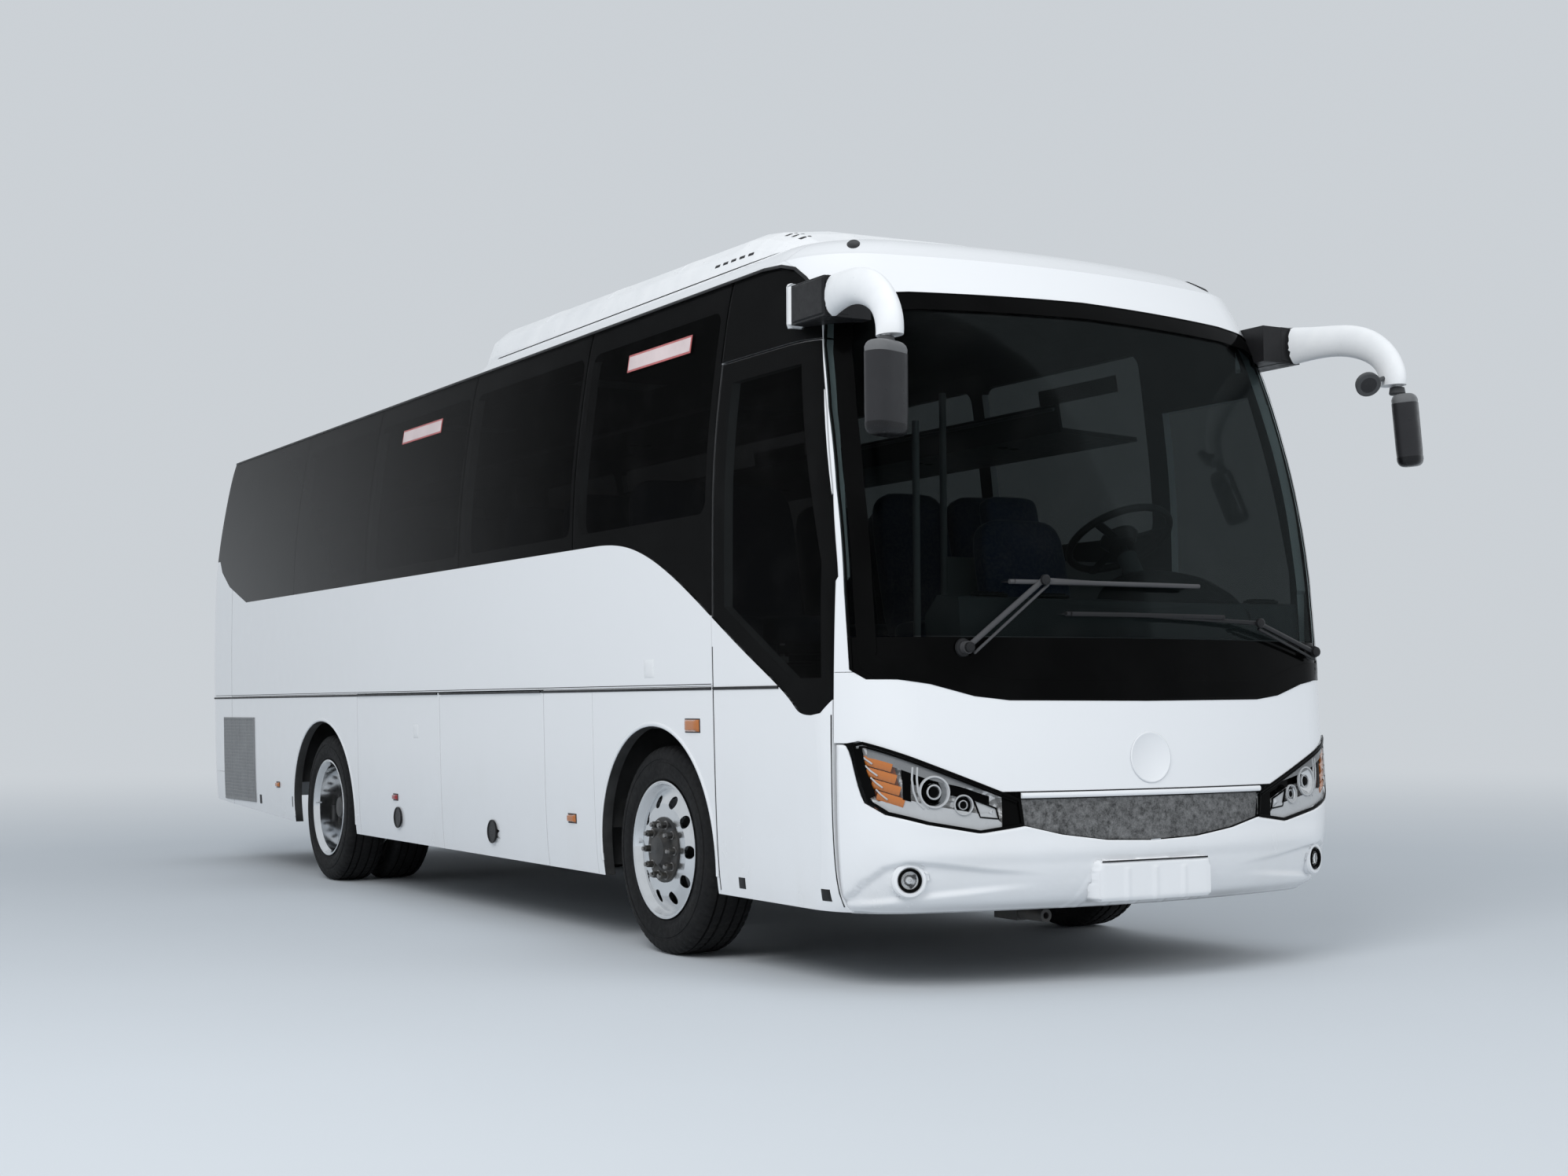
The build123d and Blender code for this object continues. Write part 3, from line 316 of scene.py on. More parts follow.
def cloth(name, colour, second):
    """Woven seat cloth with a soft moquette mottle."""
    s = Shader(name)
    place = s.axes()
    warp, weft = (s.wave(s.plus(place[axis], place["Z"]), 900) for axis in "XY")
    wear = s.ramp(s.noise(4, 4), 0.4, 0.8, 0, 0.35)
    mottle = s.mix(s.ramp(s.noise(70, 3, 0.7), 0.45, 0.58), colour, second)
    base = s.mix(wear, mottle, tint(colour, 1.7))
    normal = s.bump(s.times(warp, weft), 0.35, 0.0006, s.bump(s.noise(25, 4), 0.2, 0.002))
    return s.surface(s.principled(base, 0.88, normal, Sheen_Weight=0.35, Sheen_Roughness=0.4))


def underbody(name, colour, rough=0.6):
    """Frame paint with grime and a little rust at the edges."""
    s = Shader(name)
    grime = s.ramp(s.noise(7, 7, 0.7), 0.4, 0.72, 0, 0.7)
    rust = s.ramp(s.noise(22, 8, 0.75), 0.62, 0.8, 0, 0.6)
    base = s.mix(rust, s.mix(grime, colour, (0.09, 0.082, 0.072, 1)), (0.13, 0.055, 0.025, 1))
    normal = s.bump(s.noise(90, 5), 0.3, 0.0015, s.rounded(0.002))
    return s.surface(s.principled(base, s.ramp(grime, 0, 1, rough - 0.1, rough + 0.2), normal))


def speckled(name, colour, fleck):
    """Hard-wearing floor covering with flecks."""
    s = Shader(name)
    flecks = s.mix(s.ramp(s.noise(330, 2), 0.6, 0.68), colour, fleck)
    base = s.mix(s.ramp(s.noise(3, 5), 0.35, 0.75, 0, 0.4), flecks, grey(0.2))
    normal = s.bump(s.noise(500, 2), 0.15, 0.0008, s.rounded(0.002))
    return s.surface(s.principled(base, 0.6, normal))


def mesh_insert(name):
    """Rough cast-look insert of the grille strip."""
    s = Shader(name)
    fine = s.noise(150, 5, 0.7)
    both = s.plus(s.times(s.noise(38, 6, 0.7), 0.6), s.times(fine, 0.4))
    base = s.mix(s.ramp(both, 0.38, 0.66), grey(0.035), grey(0.26))
    normal = s.bump(both, 0.7, 0.004)
    return s.surface(s.principled(base, s.ramp(fine, 0.3, 0.7, 0.35, 0.6), normal, Metallic=0.35))


BLACK = (0.012, 0.012, 0.013, 1)
# What each finish is made by, and with what.
FINISHES = {
    "white_paint": (paint, (0.8, 0.815, 0.835, 1)),
    "white_plastic": (moulded, (0.76, 0.775, 0.79, 1), 0.35, 700, 0.05),
    "grey_plastic": (moulded, (0.06, 0.062, 0.065, 1)),
    "black_plastic": (moulded, BLACK, 0.45),
    "black_gloss": (gloss_black,),
    "dark_glass": (window, grey(0.3), 0.03, 1.0),
    "screen_glass": (window, (0.53, 0.57, 0.57, 1), 0.05),
    "lamp_lens": (lens, grey(0.985)),
    "red_lens": (lens, (0.35, 0.008, 0.008, 1), 0.05, 700, 0.8),
    "frame_steel": (underbody, grey(0.02)),
    "black_steel": (moulded, BLACK, 0.35, 900, 0.08),
    "rail_steel": (moulded, (0.2, 0.2, 0.205, 1), 0.35, 500, 0.1),
    "engine_metal": (underbody, grey(0.1)),
    "floor_covering": (speckled, grey(0.09), grey(0.3)),
    "bay_lining": (speckled, grey(0.012), grey(0.03)),
    "seat_cloth": (cloth, (0.02, 0.032, 0.075, 1), (0.06, 0.07, 0.1, 1)),
    "tyre": (rubber,),
    "polished_rim": (metal, (0.8, 0.81, 0.82, 1), 0.12, True),
    "chrome": (chrome,),
    "amber": (lens, (0.52, 0.16, 0.025, 1), 0.06, 520, 0.85),
    # A darker copy of the amber lens: painted shade for the gaps between the turn lamp's ribs.
    "amber_deep": (lens, (0.22, 0.055, 0.01, 1), 0.1, 520, 0.9),
    "grille_insert": (mesh_insert,),
    "lamp_silver": (faceted,),
    "lamp_white": (lens, (0.82, 0.83, 0.85, 1), 0.06, 600, 0.75),
    "lamp_grey": (moulded, (0.42, 0.43, 0.44, 1), 0.3, 900, 0.05),
    "brow_grey": (moulded, (0.17, 0.175, 0.18, 1), 0.3, 900, 0.05),
    "cabin_trim": (moulded, (0.035, 0.036, 0.038, 1), 0.6, 300, 0.2),
    "head_black": (moulded, (0.008, 0.008, 0.009, 1), 0.3, 900, 0.04),
    "head_grey": (moulded, (0.022, 0.022, 0.024, 1), 0.35, 900, 0.06),
    "cap_grey": (moulded, (0.12, 0.122, 0.125, 1), 0.35, 900, 0.05),
    "intake_grey": (moulded, (0.22, 0.225, 0.23, 1), 0.5, 300, 0.3),
    "notice_red": (moulded, (0.42, 0.11, 0.11, 1), 0.4, 500, 0.05),
    "notice_pale": (moulded, (0.62, 0.52, 0.52, 1), 0.4, 500, 0.05),
    "wiper_silver": (moulded, (0.06, 0.06, 0.063, 1), 0.4, 900, 0.05),
    "hub_black": (underbody, grey(0.012), 0.45),
    "steel_worn": (metal, (0.32, 0.31, 0.30, 1), 0.35),
}
MATERIALS = {name: make(name, *values) for name, (make, *values) in FINISHES.items()}
SLOTS = {part["node"]: part["material_slot"] for part in frame["record"]["subparts"]}


# ---------------------------------------------------------------- finishes of the CAD nodes
def faces_in(place, normal):
    """On the lining of the body, which faces the cabin."""
    sideways = abs(place.x) > 0.9 and normal.x * place.x < -0.25
    lengthways = abs(place.y) > 3.4 and normal.y * place.y < -1.6
    return sideways or lengthways or (place.z > 2.5 and normal.z < -0.5)


def arch_or_lining(place, normal):
    """On the cut edge of a wheel arch, or on the lining."""
    for s, half, rise in ARCHES:
        away, up = (place.y - station(s)) / (half + 0.004), (place.z - ARCH_Z) / (rise + 0.004)
        if math.hypot(away, max(0, up)) < 1 and abs(away) < 1:
            return True
    return faces_in(place, normal)


def hub_face(place, normal):
    """On the middle of a wheel."""
    return min(math.hypot(place.y - y, place.z - AXLE_Z) for y in (FRONT_Y, REAR_Y)) < 0.083


def latch_or_rail(place, normal):
    """On the top rail of a luggage door, or on the boss of its latch."""
    for s, z in LATCHES.values():
        if abs(place.y - station(s)) < 0.052 and abs(place.z - z) < 0.032 and abs(place.x) > 1.17:
            return True
    return abs(place.x) > 1.2402 and place.z > 1.1


def mirror_foot(place, normal):
    return station(-1.44) < place.y < station(-1.17) and place.z > 2.55


# Nodes with faces in a second finish, and which faces those are.
SECOND_FINISH = {
    "mirror_arms": ("black_plastic", mirror_foot),
    "grille_strip": ("grille_insert", lambda place, normal: True),
    "wipers": ("wiper_silver", lambda place, normal: place.z > 1.5 or place.x < -0.45),
    "lower_side_panels": ("bay_lining", arch_or_lining),
}
LINED = "rear_panel upper_side_walls front_dome front_panel roof passenger_door engine_hatch".split()
SECOND_FINISH.update({node: ("cabin_trim", faces_in) for node in LINED})
for _, name in SIDES:
    SECOND_FINISH[f"front_rim_{name}"] = SECOND_FINISH[f"rear_rims_{name}"] = ("hub_black", hub_face)
    for bay in LATCHES:
        SECOND_FINISH[f"luggage_door_{name}_{bay}"] = ("black_plastic", latch_or_rail)


def finish_nodes():
    """Each CAD node takes its slot's finish, and some faces of a node take another."""
    for name, node in NODES.items():
        node.data.materials.clear()
        node.data.materials.append(MATERIALS[SLOTS[name]])
        if name not in SECOND_FINISH:
            continue
        second, chosen = SECOND_FINISH[name]
        node.data.materials.append(MATERIALS[second])
        turn = node.matrix_world.to_3x3()
        for polygon in node.data.polygons:
            if chosen(node.matrix_world @ polygon.center, turn @ polygon.normal):
                polygon.material_index = 1


# ---------------------------------------------------------------- building pieces
RIM_DROP = 0.003
MERGE = 0.00002


class Shape:
    """Points and faces gathered into one piece; finish is the index of a material of the piece."""

    def __init__(self):
        self.points, self.faces, self.finish = [], [], []

    def add(self, rows):
        """Takes rows of points. Gives the index of the first point and the length of a row."""
        start = len(self.points)
        self.points += [tuple(p) for row in rows for p in row]
        return start, len(rows[0])

    def face(self, corners, finish):
        self.faces.append(corners)
        self.finish.append(finish)

    def loft(self, rings, caps=True, closed=False, finish=0):
        """A tube through rings of points, which may run back into itself."""
        start, count = self.add(rings)
        for r in range(len(rings) if closed else len(rings) - 1):
            a, b = start + r * count, start + (r + 1) % len(rings) * count
            for i in range(count):
                j = (i + 1) % count
                self.face((a + i, a + j, b + j, b + i), finish)
        if caps and not closed:
            for first in (start, start + (len(rings) - 1) * count):
                self.face(tuple(range(first, first + count)), finish)
        return self

    def grid(self, rows, finish=0):
        """An open sheet through rows of points."""
        start, count = self.add(rows)
        for r in range(len(rows) - 1):
            for i in range(count - 1):
                a = start + r * count + i
                self.face((a, a + 1, a + count + 1, a + count), finish)
        return self

    def relief(self, place, us, vs, height, finish=0):
        """A sheet that stands height(u, v) above the skin, with its rim turned down."""
        us, vs = [us[0], *us, us[-1]], [vs[0], *vs, vs[-1]]
        rows = []
        for j, v in enumerate(vs):
            row = []
            for i, u in enumerate(us):
                point, normal = place(u, v)
                rim = i in (0, len(us) - 1) or j in (0, len(vs) - 1)
                row.append(point + normal * (-RIM_DROP if rim else height(u, v)))
            rows.append(row)
        return self.grid(rows, finish)

    def patch(self, place, u_span, v_span, height, finish=0, cells=(8, 6)):
        """A low cover over a rectangle of the skin."""
        us, vs = steps(*u_span, cells[0]), steps(*v_span, cells[1])
        return self.relief(place, us, vs, dome(us, vs, height), finish)

    def strip(self, path, width, height, closed=False, sink=0.002, finish=0, lift=0.0):
        """A moulding of domed section along a path of (point, normal)."""
        half = [(-1, -sink), (-1, 0.4 * height), (-0.6, 0.85 * height)]
        section = half + [(0, height)] + [(-a, b) for a, b in reversed(half)]
        rings = []
        for i, (point, normal) in enumerate(path):
            ahead = path[(i + 1) % len(path)][0] if closed or i + 1 < len(path) else point
            behind = path[i - 1][0] if closed or i else point
            across = (ahead - behind).cross(normal).normalized() * width / 2
            rings.append([point + across * a + normal * (b + lift) for a, b in section])
        return self.loft(rings, closed=closed, finish=finish)

    def trace(self, place, line, width, height, closed=False, **more):
        """A moulding along a line drawn on the skin."""
        return self.strip([place(u, v) for u, v in line], width, height, closed, **more)

    def rod(self, start, end, radius, sides=16, finish=0):
        start, end = Vector(start), Vector(end)
        turn = (end - start).to_track_quat("Z", "Y")
        rings = [[place + turn @ p for p in circle(sides, radius)] for place in (start, end)]
        return self.loft(rings, finish=finish)

    def turned(self, centre, axis, profile, sides=48, finish=0, caps=True):
        """A body of revolution; profile is a list of (distance along the axis, radius)."""
        centre, turn = Vector(centre), Vector(axis).to_track_quat("Z", "Y")
        rings = [[centre + turn @ p for p in circle(sides, radius, out)] for out, radius in profile]
        return self.loft(rings, caps=caps, finish=finish)

    def box(self, across, lengthways, heights, edge, finish=0):
        """A block over spans of x, of distance behind the front axle and of height, with eased edges."""
        (x0, x1), (y0, y1), (z0, z1) = sorted(across), map(station, lengthways), heights
        rings = []
        for z, inset in ((z0, edge), (z0 + edge, 0), (z1 - edge, 0), (z1, edge)):
            a, b, c, d, e = x0 + inset, x1 - inset, y0 + inset, y1 - inset, edge
            ring = [
                (a + e, c), (b - e, c), (b, c + e), (b, d - e),
                (b - e, d), (a + e, d), (a, d - e), (a, c + e),
            ]
            rings.append([(x, y, z) for x, y in ring])
        return self.loft(rings, finish=finish)

    def move(self, matrix):
        self.points = [tuple(matrix @ Vector(p)) for p in self.points]
        return self

    def put(self, name, slot, body="body", finishes=None, crease=35):
        """Makes the piece, in its place, riding on its body."""
        mesh = bpy.data.meshes.new(name)
        mesh.from_pydata(self.points, [], self.faces)
        mesh.polygons.foreach_set("material_index", self.finish)
        work = bmesh.new()
        work.from_mesh(mesh)
        bmesh.ops.remove_doubles(work, verts=work.verts, dist=MERGE)
        bmesh.ops.recalc_face_normals(work, faces=work.faces)
        work.to_mesh(mesh)
        work.free()
        for finish in finishes or [slot]:
            mesh.materials.append(MATERIALS[finish])
        mesh.shade_smooth()
        mesh.set_sharp_from_angle(angle=math.radians(crease))
        made = bpy.data.objects.new(name, mesh)
        bpy.context.scene.collection.objects.link(made)
        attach(made, body)
        return made


# ---------------------------------------------------------------- places on the outside
def tree_of(*names):
    """The surfaces of these nodes, ready for lines to be cast at them."""
    points, faces = [], []
    for name in names:
        start, node = len(points), NODES[name]
        points += [node.matrix_world @ v.co for v in node.data.vertices]
        faces += [[start + i for i in p.vertices] for p in node.data.polygons]
    return BVHTree.FromPolygons(points, faces)


SKIN = tree_of(
    "front_panel", "front_bumper", "front_lamps", "grille_strip", "windscreen", "windscreen_mask",
    "front_dome", "side_glass", "upper_side_walls", "lower_side_panels", "passenger_door", "door_glass",
    "rear_panel", "rear_bumper", "rear_window", "rear_lamps", "engine_hatch", "roof",
    *(f"luggage_door_{name}_{bay}" for _, name in SIDES for bay in LATCHES),
)
POD = tree_of("roof_air_conditioner")
GAP = 0.009
AHEAD = Vector((0, -1, 0))


def land(start, direction, spread, tree=SKIN):
    """Where a line meets the outside; narrow gaps between panels are bridged by its neighbours."""
    start, direction = Vector(start), Vector(direction).normalized()
    turn = direction.to_track_quat("Z", "Y")
    best, facing = None, -direction
    for a, b in ((0, 0), (spread, 0), (-spread, 0), (0, spread), (0, -spread)):
        hit, normal, _, reach = tree.ray_cast(start + turn @ Vector((a, b, 0)), direction)
        if hit is not None and (best is None or reach < best - 0.0005):
            best, facing = reach, normal
    if best is None:
        raise ValueError(f"nothing outside at {tuple(start)}")
    if facing.dot(direction) > 0:
        facing = -facing
    return start + direction * best, facing


# The lines start well outside the bus and run straight towards it.
def on_side(side, spread=GAP, tree=SKIN):
    return lambda s, z: land((side * 3, station(s), z), (-side, 0, 0), spread, tree)


def on_front(x, z, spread=GAP):
    return land((x, station(-4), z), (0, 1, 0), spread)


def on_tail(x, z, spread=GAP):
    return land((x, station(9), z), (0, -1, 0), spread)


def on_roof(x, s, spread=0.001, tree=POD):
    return land((x, station(s), 4), (0, 0, -1), spread, tree)


def on_nose(angle, z):
    """A place on the rounded nose by its bearing from a point behind it."""
    toward = Vector((math.sin(angle), -math.cos(angle), 0))
    return land(Vector((0, station(-1.0), z)) + toward * 3, -toward, GAP)


def inside(x, z, depth):
    """A place behind the skin of the nose, square to it."""
    point, normal = on_front(x, z)
    return point - normal * depth


def about(centre, half):
    """The span this far to both sides."""
    return centre - half, centre + half


def dome(us, vs, height, flat=6):
    """Height of a low cushion-shaped cover over a patch."""
    u0, u1, v0, v1 = us[0], us[-1], vs[0], vs[-1]

    def rise(u, v):
        a, b = (2 * u - u0 - u1) / (u1 - u0), (2 * v - v0 - v1) / (v1 - v0)
        return height * max(0, 1 - abs(a) ** flat) ** 0.5 * max(0, 1 - abs(b) ** flat) ** 0.5 + 0.0006

    return rise


def louvres(place, u_span, v_span, cells, rim, bar, slat):
    """A louvred panel, whose upright bars stand between its slats. Rim is (width, height), bar is
    (pitch, clear half, height) and slat is (pitch, foot, rise)."""
    (u0, u1), (v0, v1) = u_span, v_span

    def height(u, v):
        if min(u - u0, u1 - u, v - v0, v1 - v) < rim[0]:
            return rim[1]
        if abs((u - u0) % bar[0] - bar[0] / 2) > bar[1]:
            return bar[2]
        return slat[1] + slat[2] * ((v - v0) % slat[0]) / slat[0]

    return Shape().relief(place, steps(u0, u1, cells[0]), steps(v0, v1, cells[1]), height)


# ---------------------------------------------------------------- nose
# Outlines on the nose as (distance from the middle line, height).
LAMP_EDGE = [(0.590, 0.624), (0.760, 0.602), (0.960, 0.638), (1.096, 0.676), (1.148, 0.718)]
LAMP = [(0.602, 0.716), *LAMP_EDGE, (1.173, 0.83), (1.183, 0.926), (1.161, 0.934)]
LAMP_TOP = [(0.602, 0.716), (1.161, 0.934), (1.183, 0.934)]
LAMP_FOOT = [*LAMP_EDGE, (1.183, 0.9)]
LAMP_MARGIN = 0.005
GRILLE_FOOT = [(0, 0.549), (0.22, 0.557), (0.42, 0.583), (0.576, 0.619)]
SCREEN_EDGE = [
    (0.0, 1.0915), (0.62, 1.0955), (0.76, 1.1115), (0.93, 1.1575), (1.05, 1.1755), (1.14, 1.1755),
    (1.1775, 1.208), (1.1805, 1.5), (1.1755, 1.9), (1.1605, 2.215), (1.1355, 2.47), (1.1115, 2.59),
    (1.0575, 2.6495), (0.975, 2.6795), (0.8, 2.6955), (0, 2.7115),
]
# Bowl and rings of a projector: (distance, share of its size), sides and finish.
PROJECTOR = (
    (((0.004, 0.3), (0.008, 0.6), (0.02, 0.86), (0.034, 1), (0.037, 1.05), (0.03, 1.1)), 40, 1),
    (((0.031, 0.97), (0.038, 1), (0.038, 1.12), (0.031, 1.15)), 40, 2),
    (((0.02, 0.5), (0.03, 0.53), (0.032, 0.44), (0.026, 0.4)), 32, 2),
)
LIGHT_GUIDE = [(1.012, 0.846), (1.016, 0.80), (1.012, 0.755), (0.998, 0.715), (0.975, 0.692)]
SIDE_LIGHT = [(0.782, 0.722), (0.694, 0.688), (0.684, 0.648), (0.758, 0.656)]


def lamp_foot(x):
    return between(LAMP_FOOT, x) + LAMP_MARGIN


def lamp_top(x):
    return between(LAMP_TOP, x) - LAMP_MARGIN


def lamp_inside(side, name):
    """Housing, projectors, light guide and trims in one headlamp."""
    def skin(x, z):
        return on_front(side * x, z)

    def ledge(x):
        return lamp_foot(x) + 0.062 * smooth(x, 0.64, 0.74) * (1 - smooth(x, 1.07, 1.15))

    def brow(x):
        return lamp_top(x) - 0.05 * smooth(x, 0.62, 1.0)

    def shade_foot(x):
        return lamp_top(x) - 0.066 - 0.02 * smooth(x, 0.8, 0.95)

    inner = Shape()
    columns = steps(0.594, 1.180, 42)
    rows = []
    for share in steps(0, 1, 12):
        row = []
        for x in columns:
            deep = 0.012 + 0.034 * math.sin(math.pi * share) ** 0.5 * smooth(x, 0.594, 0.66)
            z = lamp_foot(x) + (lamp_top(x) - lamp_foot(x)) * share
            row.append(inside(side * x, z, deep * (1 - 0.6 * smooth(x, 1.1, 1.18))))
        rows.append(row)
    inner.grid(rows)
    # Sheets between two heights: where, from, to, depth and finish.
    for xs, low, high, depth, finish in (
        (columns[5:-3], lamp_foot, ledge, 0.009, 2),
        (columns[2:-2], brow, lamp_top, 0.008, 3),
        (steps(0.71, 1.05, 14), shade_foot, lambda x: lamp_top(x) - 0.045 * smooth(x, 0.6, 1.0), 0.034, 4),
        (steps(1.022, 1.05, 3), lambda x: lamp_foot(x) + 0.058, lambda x: lamp_top(x) - 0.05, 0.007, 4),
        (steps(0.594, 0.672, 8), lamp_foot, lamp_top, 0.006, 4),
    ):
        sheet = []
        for share in steps(0, 1, 5):
            sheet.append([inside(side * x, low(x) * (1 - share) + high(x) * share, depth) for x in xs])
        inner.grid(sheet, finish)
    for x, z, size in ((0.934, 0.752, 0.054), (0.822, 0.702, 0.034)):
        place, toward = inside(side * x, z, 0.042), Vector((0.25 * side, -1, 0.05)).normalized()
        for profile, sides, finish in PROJECTOR:
            sized = [(out, share * size) for out, share in profile]
            inner.turned(place, toward, sized, sides, finish, caps=False)
        core = [(0.005, 0.4 * size), (0.024, 0.39 * size), (0.032, 0.3 * size), (0.034, 0.002)]
        inner.turned(place, toward, core, 32, 4)
    for shift in (0.0, -0.018):
        line = [(x + shift, z) for x, z in along(LIGHT_GUIDE, 0.012)]
        inner.trace(skin, line, 0.008, 0.004, finish=2, lift=-0.010)
    a, b, c, d = (inside(side * x, z, 0.012) for x, z in SIDE_LIGHT)
    inner.grid([[a.lerp(d, v).lerp(b.lerp(c, v), u) for u in steps(0, 1, 6)] for v in steps(0, 1, 4)], 2)
    inner.trace(skin, along(SIDE_LIGHT, 0.012, True), 0.006, 0.004, True, finish=4, lift=-0.01)
    for x, z, size in ((0.868, 0.672, 0.014), (0.716, 0.676, 0.011), (0.99, 0.70, 0.014)):
        bulb = [(0, size), (0.018, size * 0.8), (0.021, 0.002)]
        inner.turned(inside(side * x, z, 0.03), AHEAD, bulb, 20, 1)
    finishes = ["lamp_silver", "chrome", "lamp_grey", "brow_grey", "black_gloss"]
    return inner.put(f"headlamp_inside_{name}", "lamp_lens", finishes=finishes)


def lamp_front(side, name):
    """Amber ribs of the turn lamp over a darker amber backing that is painted shade between the ribs, pale
    grey slivers at the rib ends that are painted highlights, and the black border on the lens.
    """
    def skin(x, z):
        return on_front(side * x, z)

    ribs, columns = Shape(), steps(1.046, 1.138, 10)
    # The backing is a darker amber: painted shade in the gaps between the ribs.
    shaded_backing = [
        [inside(side * (x + 0.03 * v), 0.69 + (lamp_top(x) - 0.715) * v, 0.0225) for x in columns]
        for v in steps(0, 1, 8)
    ]
    ribs.grid(shaded_backing, 1)
    for row in range(4):
        z = 0.712 + 0.044 * row
        first, last = 1.046 + 0.012 * row, 1.128 + 0.0135 * row
        line = [(x, z + 0.03 * (x - first) / (last - first)) for x in steps(first, last, 8)]
        ribs.trace(skin, line, 0.034, 0.008, lift=-0.013)
        # Pale grey slivers at the outer end of each rib are painted highlights.
        tip = [(last + 0.002, z + 0.052), (last - 0.012, z + 0.032), (last - 0.03, z + 0.014)]
        ribs.trace(skin, tip, 0.006, 0.004, finish=2, lift=-0.003)
    ribs.put(f"headlamp_turn_ribs_{name}", "lamp_lens", finishes=["amber", "amber_deep", "lamp_grey"])
    rim = Shape()
    rim.trace(skin, along(LAMP, 0.02, True), 0.012, 0.003, True)
    rim.trace(skin, along([(0.612, 0.708), (1.155, 0.92), (1.17, 0.92)]), 0.008, 0.002)
    rim.trace(skin, along([(1.172, 0.915), (1.163, 0.83), (1.14, 0.735)]), 0.03, 0.002)
    rim.put(f"headlamp_border_{name}", "lamp_lens", finishes=["black_gloss"])


def fog_lamp(side, name):
    """Round lamp low in the bumper: case, reflector, bulb cap, lens and bezel."""
    point, _ = on_front(side * 1.022, 0.427, 0.06)
    toward = Vector((0.35 * side, -1, 0)).normalized()
    lamp = Shape()
    for profile, sides, finish, caps in (
        ([(-0.03, 0.043), (0.004, 0.045), (0.008, 0.041), (0.003, 0.034), (-0.02, 0.032)], 40, 0, False),
        ([(-0.025, 0.004), (-0.018, 0.022), (-0.004, 0.033)], 40, 1, False),
        ([(-0.02, 0.014), (-0.006, 0.013), (-0.001, 0.002)], 24, 1, True),
        ([(-0.002, 0.033), (0.002, 0.028), (0.004, 0.014), (0.005, 0.001)], 40, 2, True),
        ([(-0.05, 0.068), (-0.006, 0.067), (0.002, 0.061), (0.004, 0.05), (-0.001, 0.045)], 48, 3, False),
    ):
        lamp.turned(point - toward * 0.02, toward, profile, sides, finish, caps)
    lamp.put(f"fog_lamp_{name}", "lamp_lens", finishes=["black_gloss", "chrome", "lamp_lens", "white_paint"])


BUMPER_FOOT = 0.294
# Edges of the sunk band of the bumper as (distance from the middle line, height).
BAND_TOP = [(0.45, 0.43), (0.72, 0.455), (0.93, 0.483), (1.03, 0.492), (1.10, 0.472)]
BAND_TOP += [(1.15, 0.41), (1.18, 0.34)]
BAND_FOOT = [(0.45, 0.40), (0.70, 0.385), (1.0, 0.362), (1.15, 0.335)]


def bumper_rise(x, z):
    """How far the moulded bumper stands out from, or back in, the plain form of the nose."""
    reach = abs(x)
    tuck = -0.03 * (1 - smooth(z, BUMPER_FOOT, 0.352)) ** 2
    top, foot = between(BAND_TOP, reach), between(BAND_FOOT, reach)
    across = smooth(reach, 0.45, 0.85)
    band = smooth(z, *about(foot, 0.014)) * (1 - smooth(z, *about(top, 0.009)))
    half = 0.272 + 0.5 * max(0, 0.47 - z) ** 1.1
    plate = (1 - smooth(reach, *about(half, 0.006))) * (1 - smooth(z, 0.466, 0.474))
    ridges = 0.004 * max(0, math.cos(x * 2 * math.pi / 0.14) - 0.8) / 0.2 * (z < 0.452)
    shoulder = 0.006 * smooth(z, 0.47, 0.52) * (1 - smooth(z, 0.52, 0.60)) * (1 - smooth(reach, 0.9, 1.15))
    return 0.002 + tuck - 0.017 * band * across + plate * (0.005 + ridges) + shoulder


def bumper_top(reach):
    """Upper edge of the bumper: under the grille, under the lamp and up beside it."""
    if reach < 0.584:
        return between(GRILLE_FOOT, reach)
    if reach < 1.150:
        return min(between(LAMP_FOOT, reach) - 0.006, 0.73)
    return 0.73 + 0.198 * smooth(reach, 1.150, 1.190)


def bumper():
    """The moulded bumper, with its lamp recesses and the flat place for a number plate."""
    limit = math.radians(68.3)
    columns = [(angle, bumper_top(abs(on_nose(angle, 0.5)[0].x))) for angle in steps(-limit, limit, 236)]
    rows = []
    for level in steps(0, 1, 46):
        row = []
        for angle, top in columns:
            z = BUMPER_FOOT + (top - BUMPER_FOOT) * level
            point, normal = on_nose(angle, z)
            row.append(point + Vector((normal.x, normal.y, 0)).normalized() * bumper_rise(point.x, z))
        rows.append(row)
    made = Shape().grid(rows).put("front_bumper_moulding", "white_paint", crease=60)
    shell = made.modifiers.new("thickness", "SOLIDIFY")
    shell.thickness, shell.offset = 0.006, -1
    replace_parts(made, "front_bumper")


